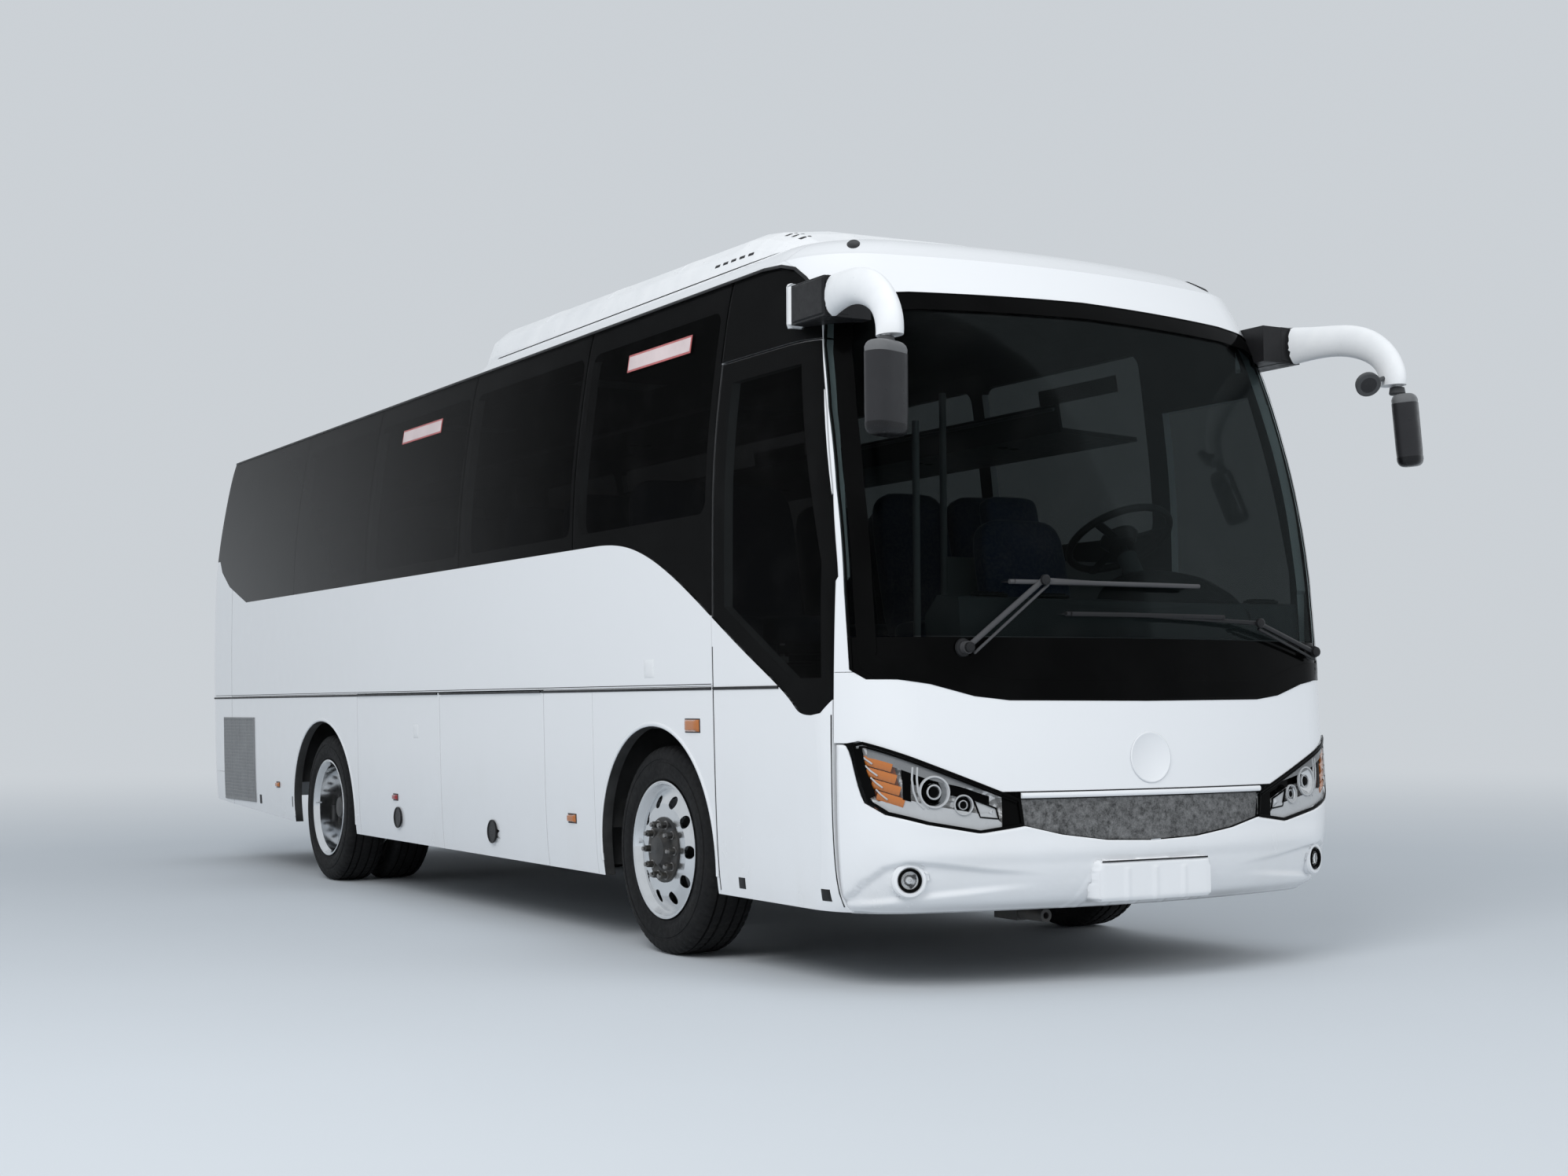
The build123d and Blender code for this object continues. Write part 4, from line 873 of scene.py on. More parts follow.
def nose_trims():
    """Lip over the grille, a seam seal, a dark strip over the plate pad that is painted shade, the screen
    gasket and the plain badge place.
    """
    lip = Shape().strip([on_front(x, 0.7335, 0.02) for x in steps(-0.596, 0.596, 60)], 0.021, 0.009)
    lip.put("grille_lip", "white_paint")
    dark = Shape().trace(on_front, [(x, 0.7465) for x in steps(-0.592, 0.592, 50)], 0.0045, 0.0008)
    # A dark strip standing just over the top of the number plate pad is painted shade.
    shade = [(p + n * 0.0085, n) for p, n in (on_front(x, 0.476) for x in steps(-0.262, 0.262, 24))]
    dark.strip(shade, 0.006, 0.001)
    dark.put("front_seam_seal_and_painted_plate_shade", "black_plastic")
    ring = SCREEN_EDGE + [(-x, z) for x, z in reversed(SCREEN_EDGE[1:-1])]
    gasket = Shape()
    gasket.strip([on_front(x, z, 0.004) for x, z in along(ring, 0.035, True)], 0.009, 0.0025, True)
    border = along([(x * 0.965, 1.9 + (z - 1.9) * 0.955) for x, z in ring], 0.035, True)
    gasket.strip([on_front(x, z, 0.0045) for x, z in border], 0.075, 0.0006, True, sink=0.0004)
    gasket.put("windscreen_gasket", "black_gloss")
    profile = [(-0.002, 0.098), (0.002, 0.1), (0.0045, 0.096), (0.0035, 0.09), (0.0015, 0.086)]
    profile.append((0.0012, 0.003))
    Shape().turned(*on_front(0, 0.869), profile, 72).put("plain_badge_seat", "white_paint")


# ---------------------------------------------------------------- sides
def body_patches(side, name):
    """Marker lamps, blank plates, slots and window notices along one side."""
    face, door = on_side(side), f"luggage_door_{name}_rear"

    def raised(lift):
        def place(u, v):
            point, normal = face(u, v)
            return point + normal * lift, normal

        return place

    # Lamps as (station, height, their length, their depth, finish).
    body_lamps = [(0.886, 0.550, 0.085, 0.036, 1), (5.603, 0.566, 0.07, 0.03, 1)]
    body_lamps.append((-0.36, 0.993, 0.125, 0.05, 1))
    for piece, body, table in (
        ("side_markers", "body", body_lamps),
        ("bay_marker", door, [(3.317, 0.564, 0.07, 0.03, 2)]),
    ):
        lamps = Shape()
        for s, z, long, tall, finish in table:
            lamps.patch(face, about(s, long / 2 + 0.006), about(z, tall / 2 + 0.005), 0.004)
            lamps.patch(raised(0.0035), about(s, long / 2), about(z, tall / 2), 0.011, finish)
        lamps.put(f"{piece}_{name}", "red_lens", body, ["black_plastic", "amber", "red_lens"])
    slots = (((5.262, 5.306), (0.43, 0.498)), ((6.0, 6.045), (0.425, 0.485)))
    for piece, body, slot, height, spans in (
        ("side_slots", "body", "black_plastic", 0.002, slots),
        ("blank_label", "body", "white_plastic", 0.003, (((-0.01, 0.085), (1.20, 1.28)),)),
        ("blank_bay_label", door, "white_plastic", 0.003, (((2.92, 3.0), (0.905, 0.98)),)),
    ):
        shape = Shape()
        for lengthways, tall in spans:
            shape.patch(face, lengthways, tall, height)
        shape.put(f"{piece}_{name}", slot, body)
    stickers = Shape()
    for s in (-0.24, 2.74):
        stickers.patch(face, (s, s + 0.62), (2.595, 2.675), 0.0006, 0, (16, 3))
        stickers.patch(raised(0.0006), (s + 0.009, s + 0.611), (2.604, 2.666), 0.0006, 1, (16, 3))
    stickers.put(f"window_notices_{name}", "white_plastic", finishes=["notice_red", "notice_pale"])


def side_trims(side, name):
    """Gasket over the side glass, waist line, latch dishes and lips of the wheel arches."""
    face = on_side(side, 0.002)
    trims = Shape()
    trims.trace(face, [(s, 2.8585) for s in steps(-0.80, 7.08, 120)], 0.014, 0.005)
    lead = [(-1.27, 2.593), (-1.196, 2.70), (-1.112, 2.773), (-1.042, 2.820), (-0.945, 2.846)]
    lead.append((-0.80, 2.8585))
    trims.trace(face, along(lead, 0.03), 0.014, 0.004)
    # The door breaks the waist line on the right.
    first = -0.535 if side < 0 else -1.09
    for start, end in ((first, 1.205), (3.945, 7.15)):
        trims.trace(face, [(s, WAIST_Z) for s in steps(start, end, 40)], 0.0125, 0.006)
    trims.trace(face, [(s, WAIST_Z + 0.018) for s in steps(first, 7.15, 110)], 0.0035, 0.0012)
    trims.put(f"side_gaskets_{name}", "black_plastic")
    for bay, (s, z) in LATCHES.items():
        point, _ = on_side(side, 0.001)(s, z - 0.045)
        profile = [(0, 0.060), (0.006, 0.060), (0.008, 0.056), (0.003, 0.052), (0.0025, 0.004)]
        dish = Shape().turned((point.x - side * 0.001, station(s), z), (side, 0, 0), profile, 40)
        dish.put(f"latch_dish_{name}_{bay}", "black_plastic", f"luggage_door_{name}_{bay}", ["head_black"])
    lips = Shape()
    for centre, half, rise in ARCHES:
        turns = steps(-0.12, math.pi + 0.12, 56)
        line = [(centre + (half + 0.011) * math.cos(a), ARCH_Z + (rise + 0.011) * math.sin(a)) for a in turns]
        lips.trace(on_side(side, 0.006), line, 0.02, 0.0055)
    lips.put(f"arch_lips_{name}", "white_paint")


def intake_grille():
    """Louvred air intake of the engine bay, low on the right behind the rear wheels."""
    rim, bar, slat = (0.014, 0.006), (0.19, 0.089, 0.0055), (0.0232, 0.0012, 0.0042)
    shape = louvres(on_side(-1, 0.012), (6.13, 6.89), (0.43, 1.01), (60, 150), rim, bar, slat)
    shape.put("engine_air_intake", "grey_plastic", finishes=["intake_grey"], crease=25)


def door_details():
    """Two dark sockets, the waist line and the rubber seals of the passenger door."""
    face = on_side(-1, 0.002)
    shape = Shape()
    for s in (-0.738, -1.382):
        shape.patch(face, about(s, 0.027), (0.338, 0.383), 0.003)
    shape.trace(face, [(s, WAIST_Z) for s in steps(-1.09, -0.552, 14)], 0.0125, 0.006)
    shape.put("door_fittings", "black_plastic", "passenger_door")
    seal = Shape()
    for s, top in ((-1.4555, 1.04), (-0.5505, 1.32)):
        seal.trace(face, along([(s, 0.32), (s, top)], 0.05), 0.006, 0.0015)
    seal.put("door_seals", "black_plastic", "passenger_door")


# ---------------------------------------------------------------- tail
def tail_lamps():
    """Three round lamps in a frame on each side of the tail."""
    for side, name in SIDES:
        rings = Shape()
        for z, finish in ((0.86, 1), (1.09, 2), (1.30, 3)):
            point, normal = on_tail(side * 0.985, z)
            seat = point - normal * 0.002
            bezel = [(0, 0.094), (0.006, 0.094), (0.008, 0.088), (0.003, 0.084)]
            rings.turned(seat, normal, bezel, 44, caps=False)
            cap = [(0.001, 0.084), (0.006, 0.07), (0.008, 0.05), (0.0075, 0.03), (0.009, 0.012)]
            cap.append((0.009, 0.002))
            rings.turned(seat, normal, cap, 44, finish)
        line = along([(0.888, 0.768), (1.082, 0.768), (1.082, 1.412), (0.888, 1.412)], 0.04, True)
        rings.strip([on_tail(side * x, z, 0.003) for x, z in line], 0.014, 0.005, True)
        finishes = ["black_plastic", "lamp_white", "amber", "red_lens"]
        rings.put(f"rear_lamp_rounds_{name}", "red_lens", finishes=finishes)


def tail_details():
    """Louvres and handle of the engine lid, gasket round the rear window, plate lamp and reflectors."""
    rim, bar, slat = (0.012, 0.004), (0.31, 0.147, 0.004), (0.032, 0.001, 0.003)
    shape = louvres(on_tail, (-0.62, 0.62), (0.74, 1.06), (62, 128), rim, bar, slat)
    shape.put("engine_lid_louvres", "white_paint", "engine_hatch", ["intake_grey"], 25)
    handle = Shape().patch(on_tail, about(0, 0.10), (0.675, 0.71), 0.006, cells=(14, 6))
    handle.put("engine_lid_handle", "black_plastic", "engine_hatch")
    ring = along([(-0.932, 1.698), (0.932, 1.698), (0.932, 2.702), (-0.932, 2.702)], 0.05, True)
    dark = Shape().strip([on_tail(x, z, 0.006) for x, z in ring], 0.014, 0.003, True)
    dark.patch(on_tail, about(0, 0.10), (0.592, 0.612), 0.006, cells=(14, 5))
    dark.put("rear_gasket_and_plate_lamp", "black_plastic")
    spots = Shape()
    for side, _ in SIDES:
        spots.patch(on_tail, about(side * 0.92, 0.05), (0.50, 0.535), 0.005)
    spots.put("rear_reflectors", "red_lens")


# ---------------------------------------------------------------- roof
def roof_details():
    """Slots, joints and fans of the roof pod, and the clearance lamps beside it."""
    dark = Shape()
    for s in steps(-0.44, -0.15, 4):
        for side, _ in SIDES:
            face = on_side(side, 0.001, POD)
            dark.trace(face, [(s + d, 3.012) for d in (0, 0.02, 0.042)], 0.013, 0.0016)
    for s in (-0.515, -0.57, -0.63):
        for side, _ in SIDES:
            dark.trace(on_roof, [(side * x, s) for x in (0.80, 0.83, 0.855)], 0.02, 0.0016)
    for side, _ in SIDES:
        point, normal = on_roof(side * 0.90, -1.13, 0.002, SKIN)
        turn = normal.to_track_quat("Z", "Y")
        ring = [point + turn @ Vector((0.028 * p.x, 0.062 * p.y, -0.002)) for p in circle(24)]
        dark.loft([ring, [p + normal * 0.006 + (point - p) * 0.25 for p in ring]])
    dark.put("roof_slots", "black_plastic")
    joints = Shape()
    for s in (0.30, 1.05, 1.80):
        joints.trace(on_roof, [(x, s) for x in steps(-0.955, 0.955, 40)], 0.008, 0.002)
    joints.put("roof_pod_joints", "white_plastic")
    fans = Shape()
    for s in (-0.02, 0.67, 1.42):
        for x in (-0.38, 0.38):
            point, normal = on_roof(x, s)
            for radius in (0.225, 0.18, 0.135, 0.09, 0.045):
                fans.strip([(point + p, normal) for p in circle(36, radius)], 0.012, 0.006, True)
            for a in steps(0, math.pi, 4)[:-1]:
                reach = Vector((0.225 * math.cos(a), 0.225 * math.sin(a), 0.002))
                fans.rod(point - reach + Vector((0, 0, 0.004)), point + reach, 0.003, 8)
    fans.put("roof_fan_grilles", "black_plastic")


# ---------------------------------------------------------------- wheels
# Half-section of a tyre as (distance from the middle, radius), from the bead over the wall to the crown.
HALF_SECTION = [
    (0.090, 0.284), (0.100, 0.299), (0.113, 0.304), (0.1185, 0.312), (0.1175, 0.322), (0.1205, 0.330),
    (0.1245, 0.348), (0.1250, 0.362), (0.1238, 0.378), (0.1205, 0.380), (0.1200, 0.392), (0.1225, 0.394),
    (0.1205, 0.408), (0.1170, 0.420), (0.112, 0.431), (0.106, 0.4405), (0.098, 0.4465), (0.086, 0.4500),
    (0.080, 0.4505), (0.078, 0.4385), (0.070, 0.4385), (0.068, 0.4510), (0.050, 0.4515), (0.036, 0.4518),
    (0.034, 0.4395), (0.026, 0.4395), (0.024, 0.4520), (0.008, 0.4520),
]
SECTION = HALF_SECTION + [(-x, r) for x, r in reversed(HALF_SECTION)]
BLOCKS = 60
CELLS = 4


def tyre_mesh(shape, centre, side):
    """A road tyre with straight grooves, shoulder blocks and sipes."""
    rings = []
    for i in range(BLOCKS * CELLS):
        turn = 2 * math.pi * i / (BLOCKS * CELLS)
        sipe = i % CELLS == 0
        ring = []
        for x, radius in SECTION:
            cut = 0.0
            if sipe and abs(x) > 0.085 and radius > 0.425:
                cut = 0.0065
            elif sipe and 0.012 < abs(x) < 0.075 and radius > 0.448:
                cut = 0.004
            if 0.33 < radius < 0.376 and i % 2:
                cut += 0.0004
            reach = radius - cut
            ring.append(centre + Vector((side * x, reach * math.sin(turn), reach * math.cos(turn))))
        rings.append(ring)
    shape.loft(rings, closed=True)


def tyres():
    """Treaded tyres in the place of the plain ones."""
    for side, name in SIDES:
        for y, places, piece, body, node in (
            (FRONT_Y, (WHEEL_X,), "front_tyre_tread", "front_wheel", "front_tyre"),
            (REAR_Y, (WHEEL_X, TWIN_X), "rear_tyre_treads", "rear_wheels", "rear_tyres"),
        ):
            shape = Shape()
            for x in places:
                tyre_mesh(shape, Vector((side * x, y, AXLE_Z)), side)
            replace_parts(shape.put(f"{piece}_{name}", "tyre", f"{body}_{name}"), f"{node}_{name}")


def hub_dress(side, centre_y, face, body, label):
    """Dark hub flange, and ten washers, nuts and bolt ends on the wheel's face."""
    shape = Shape()
    axis, hub = Vector((side, 0, 0)), Vector((side * face, centre_y, AXLE_Z))
    flange = [(0.0, 0.142), (0.006, 0.142), (0.009, 0.138), (0.009, 0.086), (0.012, 0.0835)]
    shape.turned(hub, axis, flange, 60)
    for index in range(10):
        turn = math.radians(18 + 36 * index)
        place = hub + Vector((0, 0.114 * math.sin(turn), 0.114 * math.cos(turn)))
        for out, profile, sides, finish in (
            (0.009, [(0, 0.019), (0.004, 0.019), (0.005, 0.016)], 20, 1),
            (0.014, [(0, 0.0155), (0.022, 0.0155), (0.025, 0.013)], 6, 0),
            (0.038, [(0, 0.0095), (0.012, 0.0095), (0.014, 0.007)], 12, 1),
        ):
            shape.turned(place + axis * out, axis, profile, sides, finish)
    shape.put(f"{label}_hub_nuts", "black_steel", body, ["hub_black", "steel_worn"])


def wheel_faces():
    """Hub, bright rim edge and valve stem of each wheel."""
    for side, name in SIDES:
        front, rear = f"front_wheel_{name}", f"rear_wheels_{name}"
        hub_dress(side, FRONT_Y, WHEEL_X + 0.114, front, f"front_{name}")
        hub_dress(side, REAR_Y, WHEEL_X - 0.096, rear, f"rear_{name}")
        for body, y in ((front, FRONT_Y), (rear, REAR_Y)):
            ring = Shape()
            bead = [(0.116, 0.2995), (0.12, 0.2985), (0.121, 0.293), (0.115, 0.288)]
            ring.turned((side * WHEEL_X, y, AXLE_Z), (side, 0, 0), bead, 96, caps=False)
            valve = [(0.08, 0.262), (0.125, 0.235)]
            ring.rod(*((side * (WHEEL_X + out), y + away, AXLE_Z + 0.02) for out, away in valve), 0.005, 10)
            ring.put(f"{body}_rim_edge", "polished_rim", body)


# ---------------------------------------------------------------- mirrors and wipers
def mirror_details():
    """Cover and rear rim of each mirror foot, joints of the arms, and the round close-view mirror."""
    for side, name in SIDES:
        rim = Shape().box((side * 1.09, side * 1.233), (-1.178, -1.156), (2.551, 2.727), 0.014)
        rim.put(f"mirror_foot_rim_{name}", "white_plastic")
        foot = Shape().box((side * 1.1, side * 1.226), (-1.432, -1.176), (2.557, 2.719), 0.014)
        foot.put(f"mirror_foot_cover_{name}", "black_plastic")
        bits = Shape()
        for z, profile, sides, finish in (
            (2.362, [(0, 0.03), (0.006, 0.034), (0.03, 0.030), (0.034, 0.02)], 28, 0),
            (2.395, [(0, 0.0165), (0.03, 0.0165), (0.032, 0.022), (0.045, 0.022)], 24, 1),
        ):
            bits.turned((side * 1.275, station(-1.940), z), (0, 0, 1), profile, sides, finish)
        bits.put(f"mirror_joint_{name}", "black_plastic", finishes=["grey_plastic", "chrome"])
    close, seat = Shape(), Vector((1.10, station(-1.945), 2.395))
    axis = Vector((-0.35, -0.75, -0.55)).normalized()
    shell = [(-0.035, 0.01), (-0.03, 0.035), (-0.01, 0.05), (0.01, 0.053), (0.014, 0.049)]
    close.turned(seat, axis, shell, 36)
    close.turned(seat, axis, [(0.0125, 0.047), (0.0145, 0.03), (0.016, 0.002)], 36, 1)
    close.rod(seat, (1.215, station(-1.925), 2.43), 0.010, 12)
    close.put("close_view_mirror", "white_plastic", finishes=["grey_plastic", "head_grey"])


# Levels of a mirror head's rings, from its foot at -1 to its top at 1.
HEAD_LEVELS = [-1, -0.985, -0.95, -0.9, -0.82, -0.735, -0.73, -0.5, 0, 0.5, 0.74, 0.745]
HEAD_LEVELS += [0.84, 0.92, 0.965, 0.99, 1]
HEAD_SEAMS = (-0.73, 0.745)


def head_glass(x, z):
    """A place on the gently rounded rear face of a mirror head."""
    return Vector((x, 0.0505 - 3.2 * x * x, z)), Vector((0, 1, 0))


def mirror_heads():
    """Rounded mirror heads: grey cap, dark case with a black foot, and two glasses at the rear."""
    node = NODES["mirror_heads"]
    points = [node.matrix_world @ v.co for v in node.data.vertices]
    for (side, name), turn, tip, half in zip(SIDES, (20, 38), (0, 6), (0.170, 0.152)):
        own = [p for p in points if p.x * side > 0]
        centre = Vector([(min(p[i] for p in own) + max(p[i] for p in own)) / 2 for i in range(3)])
        turned_by = Matrix.Rotation(math.radians(-tip), 4, "Y") @ Matrix.Rotation(math.radians(turn), 4, "Z")
        rings = []
        for level in HEAD_LEVELS:
            inset = 0.034 * (1 - (1 - max(0, (abs(level) - 0.8) / 0.2) ** 2) ** 0.5)
            seam = 0.0015 if level in HEAD_SEAMS else 0
            ring = []
            for a in steps(0, 2 * math.pi, 56)[:-1]:
                c, s = math.cos(a), math.sin(a)
                x = math.copysign(abs(c) ** 0.6, c) * (0.0925 - inset - seam)
                y = math.copysign(abs(s) ** 0.7, s) * (0.052 - inset * 0.75 - seam)
                ring.append(Vector((x, y, level * half)))
            rings.append(ring)
        case = Shape()
        for below, above, finish in ((0, 6, 2), (6, 11, 0), (11, 16, 1)):
            case.loft(rings[below : above + 1], finish=finish)
        for z0, z1 in ((-0.80, 0.22), (0.30, 0.80)):
            xs, zs = steps(-0.070, 0.070, 10), steps(z0 * half, z1 * half, 10)
            case.relief(head_glass, xs, zs, dome(xs, zs, 0.003), 3)
        case.move(Matrix.Translation(centre) @ turned_by)
        finishes = ["head_grey", "cap_grey", "head_black", "chrome"]
        case.put(f"mirror_case_{name}", "grey_plastic", finishes=finishes)
    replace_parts(bpy.data.objects["mirror_case_right"], "mirror_heads")


# Each wiper: pivot and elbow of its arm, ends and height of its blade, shift of its second bar,
# and the metal of its arm.
WIPERS = {
    "right": ((-0.795, 1.290), (-0.485, 1.548), (-0.622, 0.276), 1.540, (0.028, 0, -0.022), "wiper_silver"),
    "left": ((1.019, 1.290), (0.600, 1.400), (-0.390, 0.404), 1.420, (0.0, 0, -0.03), "black_steel"),
}
# Section of a blade's rubber, from the screen to the frame.
RUBBER = [(0, -0.028, 0.002), (0, -0.028, -0.002), (0, -0.0012, -0.001), (0, -0.0012, 0.001)]


def wiper_details():
    """Second bar of each arm, pivot caps, springs and rubber edges of the blades."""
    def on_screen(x, z):
        return on_front(x, z, 0.001)[0]

    for name, (pivot, elbow, (first, last), z, shift, steel) in WIPERS.items():
        arm, shift = Shape(), Vector(shift)
        start, end = on_screen(*pivot) + AHEAD * 0.034, on_screen(*elbow) + AHEAD * 0.064
        arm.rod(start + shift, end + shift * 0.8, 0.006, 12)
        arm.rod(start * 0.72 + end * 0.28, start * 0.35 + end * 0.65, 0.009, 14)
        for centre in (start, end):
            arm.turned(centre + AHEAD * 0.018, AHEAD, [(-0.012, 0.02), (0.0, 0.02), (0.006, 0.012)], 20, 1)
        arm.turned(on_screen(*pivot), AHEAD, [(0.0, 0.036), (0.008, 0.034), (0.014, 0.026)], 28, 1)
        edge = [on_screen(x, z) for x in steps(first, last, 24)]
        arm.loft([[place + Vector(corner) for corner in RUBBER] for place in edge], finish=1)
        spine = steps(first + 0.02, last - 0.02, 20)
        arm.strip([(on_screen(x, z) + AHEAD * 0.058, AHEAD) for x in spine], 0.016, 0.006)
        arm.put(f"wiper_{name}_fittings", "black_steel", finishes=[steel, "black_plastic"])


# ---------------------------------------------------------------- inside
ROUNDNESS = 5.0
STITCH = 0.011
BACK_LEAN = 77.5


def cushion(size, matrix, name, seams, crown, cells):
    """An upholstered block: crowned faces, eased edges and sewn channels across it."""
    wide, deep, tall = size
    shares = [math.sin((i / cells - 0.5) * math.pi) for i in range(cells + 1)]

    def surface(axis, sign, a, b):
        cube = [0.0, 0.0, 0.0]
        cube[axis], cube[(axis + 1) % 3], cube[(axis + 2) % 3] = sign, a, b
        length = sum(abs(c) ** ROUNDNESS for c in cube) ** (1 / ROUNDNESS)
        x, y, z = (c / length for c in cube)
        rise = crown * (1 - x * x) * (1 - y * y) * (1 if z > 0 else 0.2)
        height = z * tall / 2 + rise
        for at in seams:
            groove = math.exp(-(((y * deep / 2) - at) / STITCH) ** 2)
            height -= math.copysign(STITCH * groove, z) * max(0, abs(z) - 0.3)
        return x * wide / 2, y * deep / 2, height

    shape = Shape()
    for axis in range(3):
        for sign in (-1, 1):
            shape.grid([[surface(axis, sign, a, b) for b in shares] for a in shares])
    shape.move(matrix).put(name, "seat_cloth", crease=70)


def lean(x, s, z, degrees=0):
    """Puts a cushion at a place, leant back."""
    return Matrix.Translation((x, station(s), z)) @ Matrix.Rotation(math.radians(degrees), 4, "X")


def bench(low_x, high_x, front, label, places):
    """Cushions and backs of one bench, with the frame it stands on."""
    floor, rise = 1.05, 0.78
    pitch = (high_x - low_x) / places
    for index in range(places):
        x = low_x + pitch * (index + 0.5)
        wide = pitch - 0.012
        tag = f"{label}_{index + 1}"
        base = lean(x, front + 0.225, floor + 0.362)
        cushion((wide, 0.46, 0.135), base, f"{tag}_cushion", (-0.06, 0.08), 0.012, 10)
        back = lean(x, front + 0.518, floor + 0.30 + rise / 2, BACK_LEAN)
        cushion((wide - 0.01, rise + 0.01, 0.115), back, f"{tag}_back", (-0.12, 0.02, 0.17), 0.018, 10)
    stand = Shape()
    mid = (low_x + high_x) / 2
    for xs, near, far, low, high, edge in (
        ((low_x + 0.02, high_x - 0.02), 0.03, 0.43, 0.262, 0.305, 0.008),
        (about(mid, 0.03), 0.1, 0.36, 0.012, 0.27, 0.008),
        (about(mid, 0.07), 0.08, 0.38, 0.002, 0.014, 0.004),
    ):
        stand.box(xs, (front + near, front + far), (floor + low, floor + high), edge)
    stand.put(f"{label}_frame", "black_steel")


def seats():
    """Nine rows of two and two seats, with five across the tail."""
    for row in range(9):
        front, tail = -0.06 + 0.745 * row, row == 8
        bench(-1.108, -0.232, front, f"seat_right_{row + 1}", 2)
        bench(-0.198 if tail else 0.232, 1.108, front, f"seat_left_{row + 1}", 3 if tail else 2)
    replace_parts(bpy.data.objects["seat_right_1_frame"], "passenger_seats")


DRIVER_X = 0.40
# Rings of the instrument hood: station, top and half width.
HOOD = [(-1.66, 1.50, 0.30), (-1.58, 1.575, 0.325), (-1.50, 1.618, 0.33), (-1.43, 1.632, 0.325)]
HOOD.append((-1.405, 1.62, 0.318))
HOOD_FOOT = 1.40


def driver_place():
    """Driver's seat, instrument hood, vents, switches and the pad of the steering wheel."""
    for size, place, name, seams, crown, cells in (
        ((0.475, 0.46, 0.15), (-0.785, 1.362), "cushion", (-0.09, 0.09), 0.02, 14),
        ((0.47, 0.64, 0.12), (-0.50, 1.60, BACK_LEAN), "back", (-0.2, -0.03, 0.16), 0.03, 14),
        ((0.29, 0.20, 0.10), (-0.393, 1.925, BACK_LEAN), "head_rest", (), 0.02, 10),
    ):
        cushion(size, lean(DRIVER_X, *place), f"driver_{name}", seams, crown, cells)
    stand = Shape().box((0.21, 0.59), (-0.99, -0.58), (1.262, 1.300), 0.01)
    for z in (1.045 + 0.042 * i for i in range(5)):
        stand.box((0.24, 0.56), (-0.96, -0.62), (z, z + 0.036), 0.012)
    stand.box((0.22, 0.58), (-0.98, -0.6), (1.003, 1.045), 0.006)
    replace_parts(stand.put("driver_seat_base", "black_steel"), "driver_seat")
    rings = []
    for s, top, half in HOOD:
        arc = [(math.cos(a), max(0, math.sin(a)) ** 0.55) for a in steps(0, math.pi, 24)]
        rings.append([(DRIVER_X + half * c, station(s), HOOD_FOOT + (top - HOOD_FOOT) * up) for c, up in arc])
    hood = Shape().loft(rings)
    hood.box((0.14, 0.66), (-1.415, -1.40), (1.405, 1.575), 0.005, 1)
    for x, size in ((0.29, 0.055), (0.51, 0.055), (0.40, 0.03), (0.60, 0.025), (0.20, 0.025)):
        dial = [(0, size), (0.006, size), (0.007, size * 0.9), (0.003, size * 0.86)]
        hood.turned((x, station(-1.401), 1.50), (0, 1, 0), dial, 32)
    hood.put("instrument_hood", "black_plastic", finishes=["black_plastic", "black_gloss"])
    bits = Shape()
    for x in (-0.55, -0.25, 0.86):
        bits.box(about(x, 0.07), (-1.58, -1.51), (1.494, 1.508), 0.004)
        for vane in (x - 0.05 + 0.025 * i for i in range(5)):
            bits.box(about(vane, 0.003), (-1.575, -1.515), (1.506, 1.514), 0.001)
    for x in (0.74 + 0.045 * i for i in range(6)):
        bits.box((x, x + 0.035), (-1.44, -1.405), (1.43, 1.46), 0.004)
    bits.put("dashboard_fittings", "black_plastic")
    tilt = math.radians(32)
    axis, hub = Vector((0, math.sin(tilt), math.cos(tilt))), Vector((DRIVER_X, station(-1.18), 1.78))
    profile = [(-0.04, 0.06), (0.0, 0.085), (0.014, 0.08), (0.02, 0.05), (0.021, 0.002)]
    Shape().turned(hub, axis, profile, 40).put("steering_wheel_pad", "black_plastic", "steering_wheel")


def cabin_details():
    """Air nozzles and rails of the luggage racks."""
    nozzles, rails = Shape(), Shape()
    for side, _ in SIDES:
        for s in steps(0.2, 6.2, 8):
            for x in (0.80, 0.87):
                profile = [(0, 0.026), (0.006, 0.026), (0.008, 0.018), (0.004, 0.01)]
                nozzles.turned((side * x, station(s), 2.347), (0, 0, -1), profile, 16)
        rails.rod((side * 0.664, station(-0.39), 2.455), (side * 0.664, station(6.49), 2.455), 0.009, 12)
    nozzles.put("rack_air_nozzles", "black_plastic")
    rails.put("rack_rails", "rail_steel")


# ---------------------------------------------------------------- stage, lamps and camera
AIR = (0.6, 0.635, 0.67, 1)
STAGE_REACH = 120
CAMERA_PLACE = Vector((-5.327, station(-8.174), 1.077))
CAMERA_TURN, CAMERA_RISE, CAMERA_ROLL = (math.radians(a) for a in (-30.094, 3.207, -0.279))
CAMERA_LENS = 48.02
CAMERA_SHIFT = 0.002


def link(name, data):
    made = bpy.data.objects.new(name, data)
    bpy.context.scene.collection.objects.link(made)
    return made


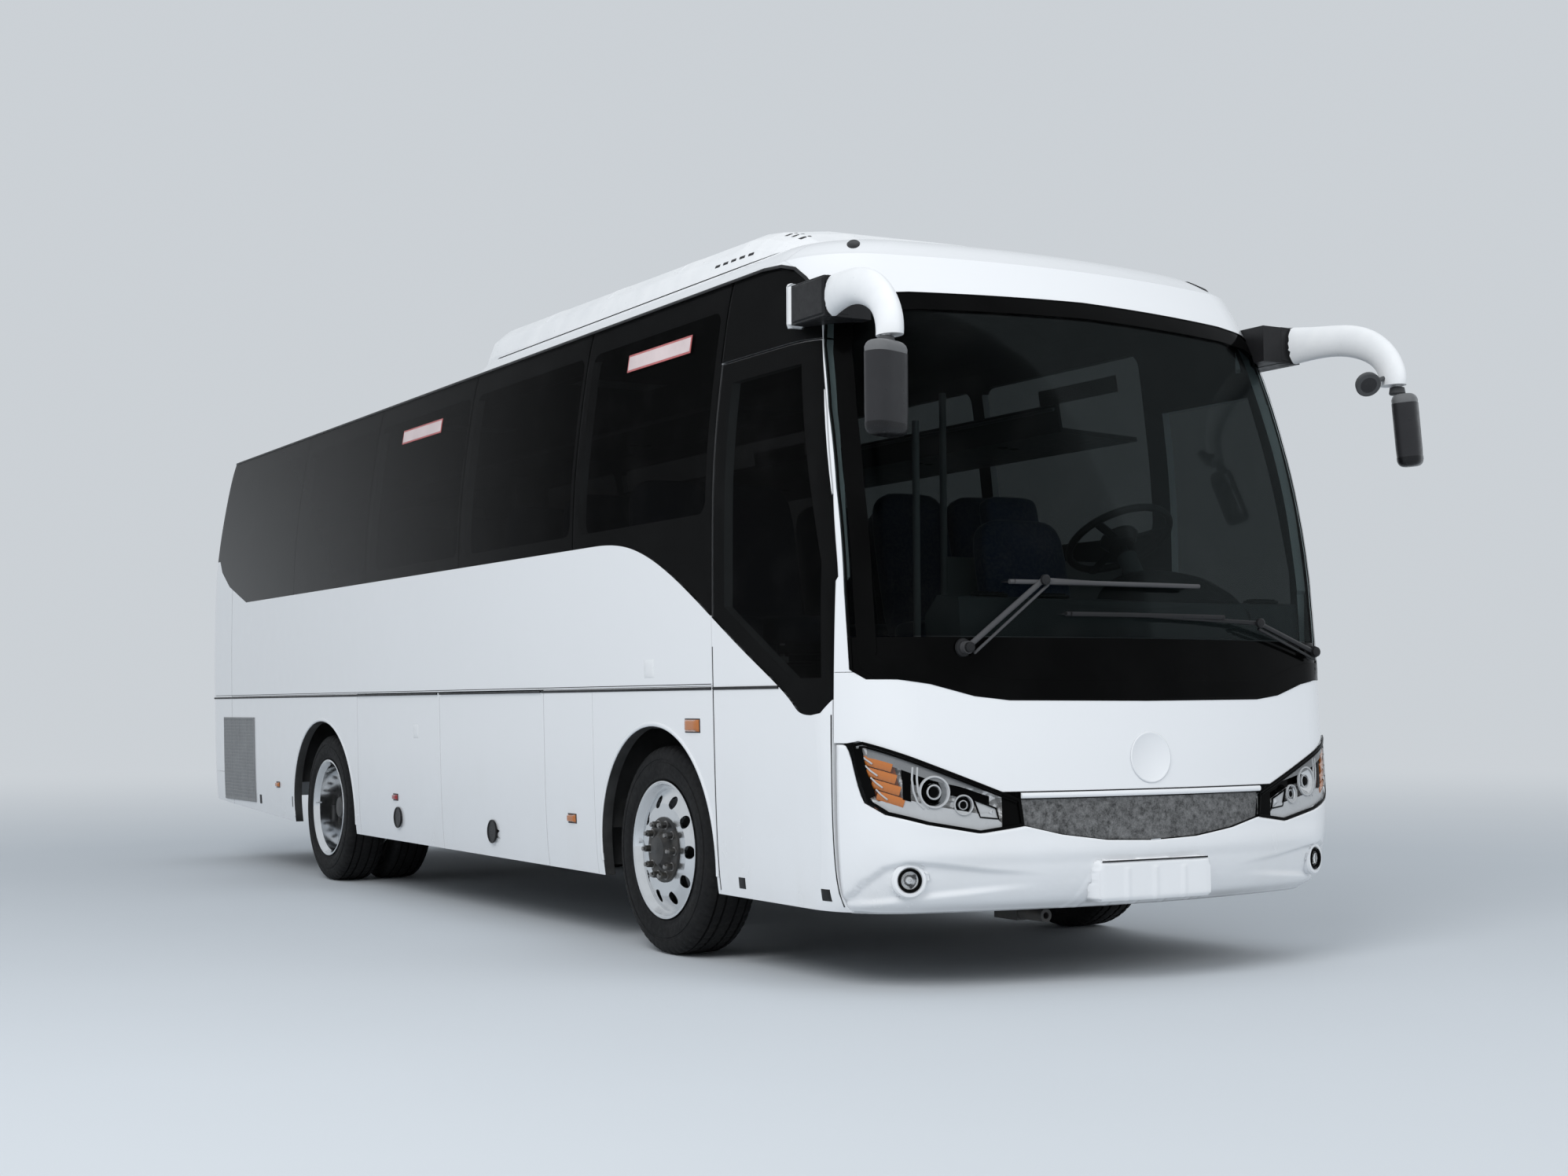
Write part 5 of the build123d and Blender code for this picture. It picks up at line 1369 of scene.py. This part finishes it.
def stage():
    """A pale floor that fades into the air of the studio far away from the bus."""
    s = Shader("studio_floor")
    tone = s.mix(s.ramp(s.noise(0.35, 3), 0.3, 0.7), AIR, (0.615, 0.65, 0.685, 1))
    near = s.principled(tone, 0.75, s.bump(s.noise(40, 3), 0.02, 0.002), Specular_IOR_Level=0.1)
    far = s.node("Emission", Color=AIR, Strength=1.0).outputs[0]
    place = s.axes()
    fade = s.ramp(s.reach(place["X"], place["Y"]), 6, 26)
    mesh = bpy.data.meshes.new("studio_floor")
    corners = [(x * STAGE_REACH, y * STAGE_REACH, 0) for x, y in ((-1, -1), (1, -1), (1, 1), (-1, 1))]
    mesh.from_pydata(corners, [], [(0, 1, 2, 3)])
    mesh.materials.append(s.surface(s.blend(s.times(fade, s.math("SUBTRACT", 2, fade)), near, far)))
    link("studio_floor", mesh)


def lamp(name, place, target, size, power):
    data = bpy.data.lights.new(name, "AREA")
    data.shape, data.size, data.energy = "DISK", size, power
    made = link(name, data)
    made.location = place
    made.rotation_euler = (Vector(target) - Vector(place)).to_track_quat("-Z", "Y").to_euler()
    made.visible_glossy = False


def surroundings():
    world = bpy.data.worlds.new("studio")
    bpy.context.scene.world = world
    world.use_nodes = True
    tree = world.node_tree
    tree.nodes.clear()
    output = tree.nodes.new("ShaderNodeOutputWorld")
    shade = tree.nodes.new("ShaderNodeBackground")
    shade.inputs["Color"].default_value = AIR
    shade.inputs["Strength"].default_value = 1.0
    tree.links.new(shade.outputs[0], output.inputs[0])
    bpy.context.scene.view_settings.view_transform = "Standard"


def camera():
    """Stands where the photographer stood."""
    data = bpy.data.cameras.new("camera")
    data.sensor_width, data.lens = 36, CAMERA_LENS
    data.clip_start, data.clip_end = 0.1, 300
    data.shift_x = CAMERA_SHIFT
    made = link("camera", data)
    turn = Matrix.Rotation(CAMERA_TURN, 4, "Z")
    rise = Matrix.Rotation(math.pi / 2 + CAMERA_RISE, 4, "X")
    roll = Matrix.Rotation(CAMERA_ROLL, 4, "Z")
    made.matrix_world = Matrix.Translation(CAMERA_PLACE) @ turn @ rise @ roll
    bpy.context.scene.camera = made


finish_nodes()
bumper()
for side, name in SIDES:
    lamp_inside(side, name)
    lamp_front(side, name)
    fog_lamp(side, name)
    body_patches(side, name)
    side_trims(side, name)
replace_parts(bpy.data.objects["headlamp_inside_right"], "front_lamps")
nose_trims()
intake_grille()
door_details()
tail_lamps()
tail_details()
roof_details()
tyres()
wheel_faces()
mirror_details()
mirror_heads()
wiper_details()
seats()
driver_place()
cabin_details()
stage()
surroundings()
lamp("key", (-9, -9, 9), (0, -1, 1), 7, 820)
lamp("fill", (4, -12, 6), (0, -3, 1.5), 6, 200)
camera()
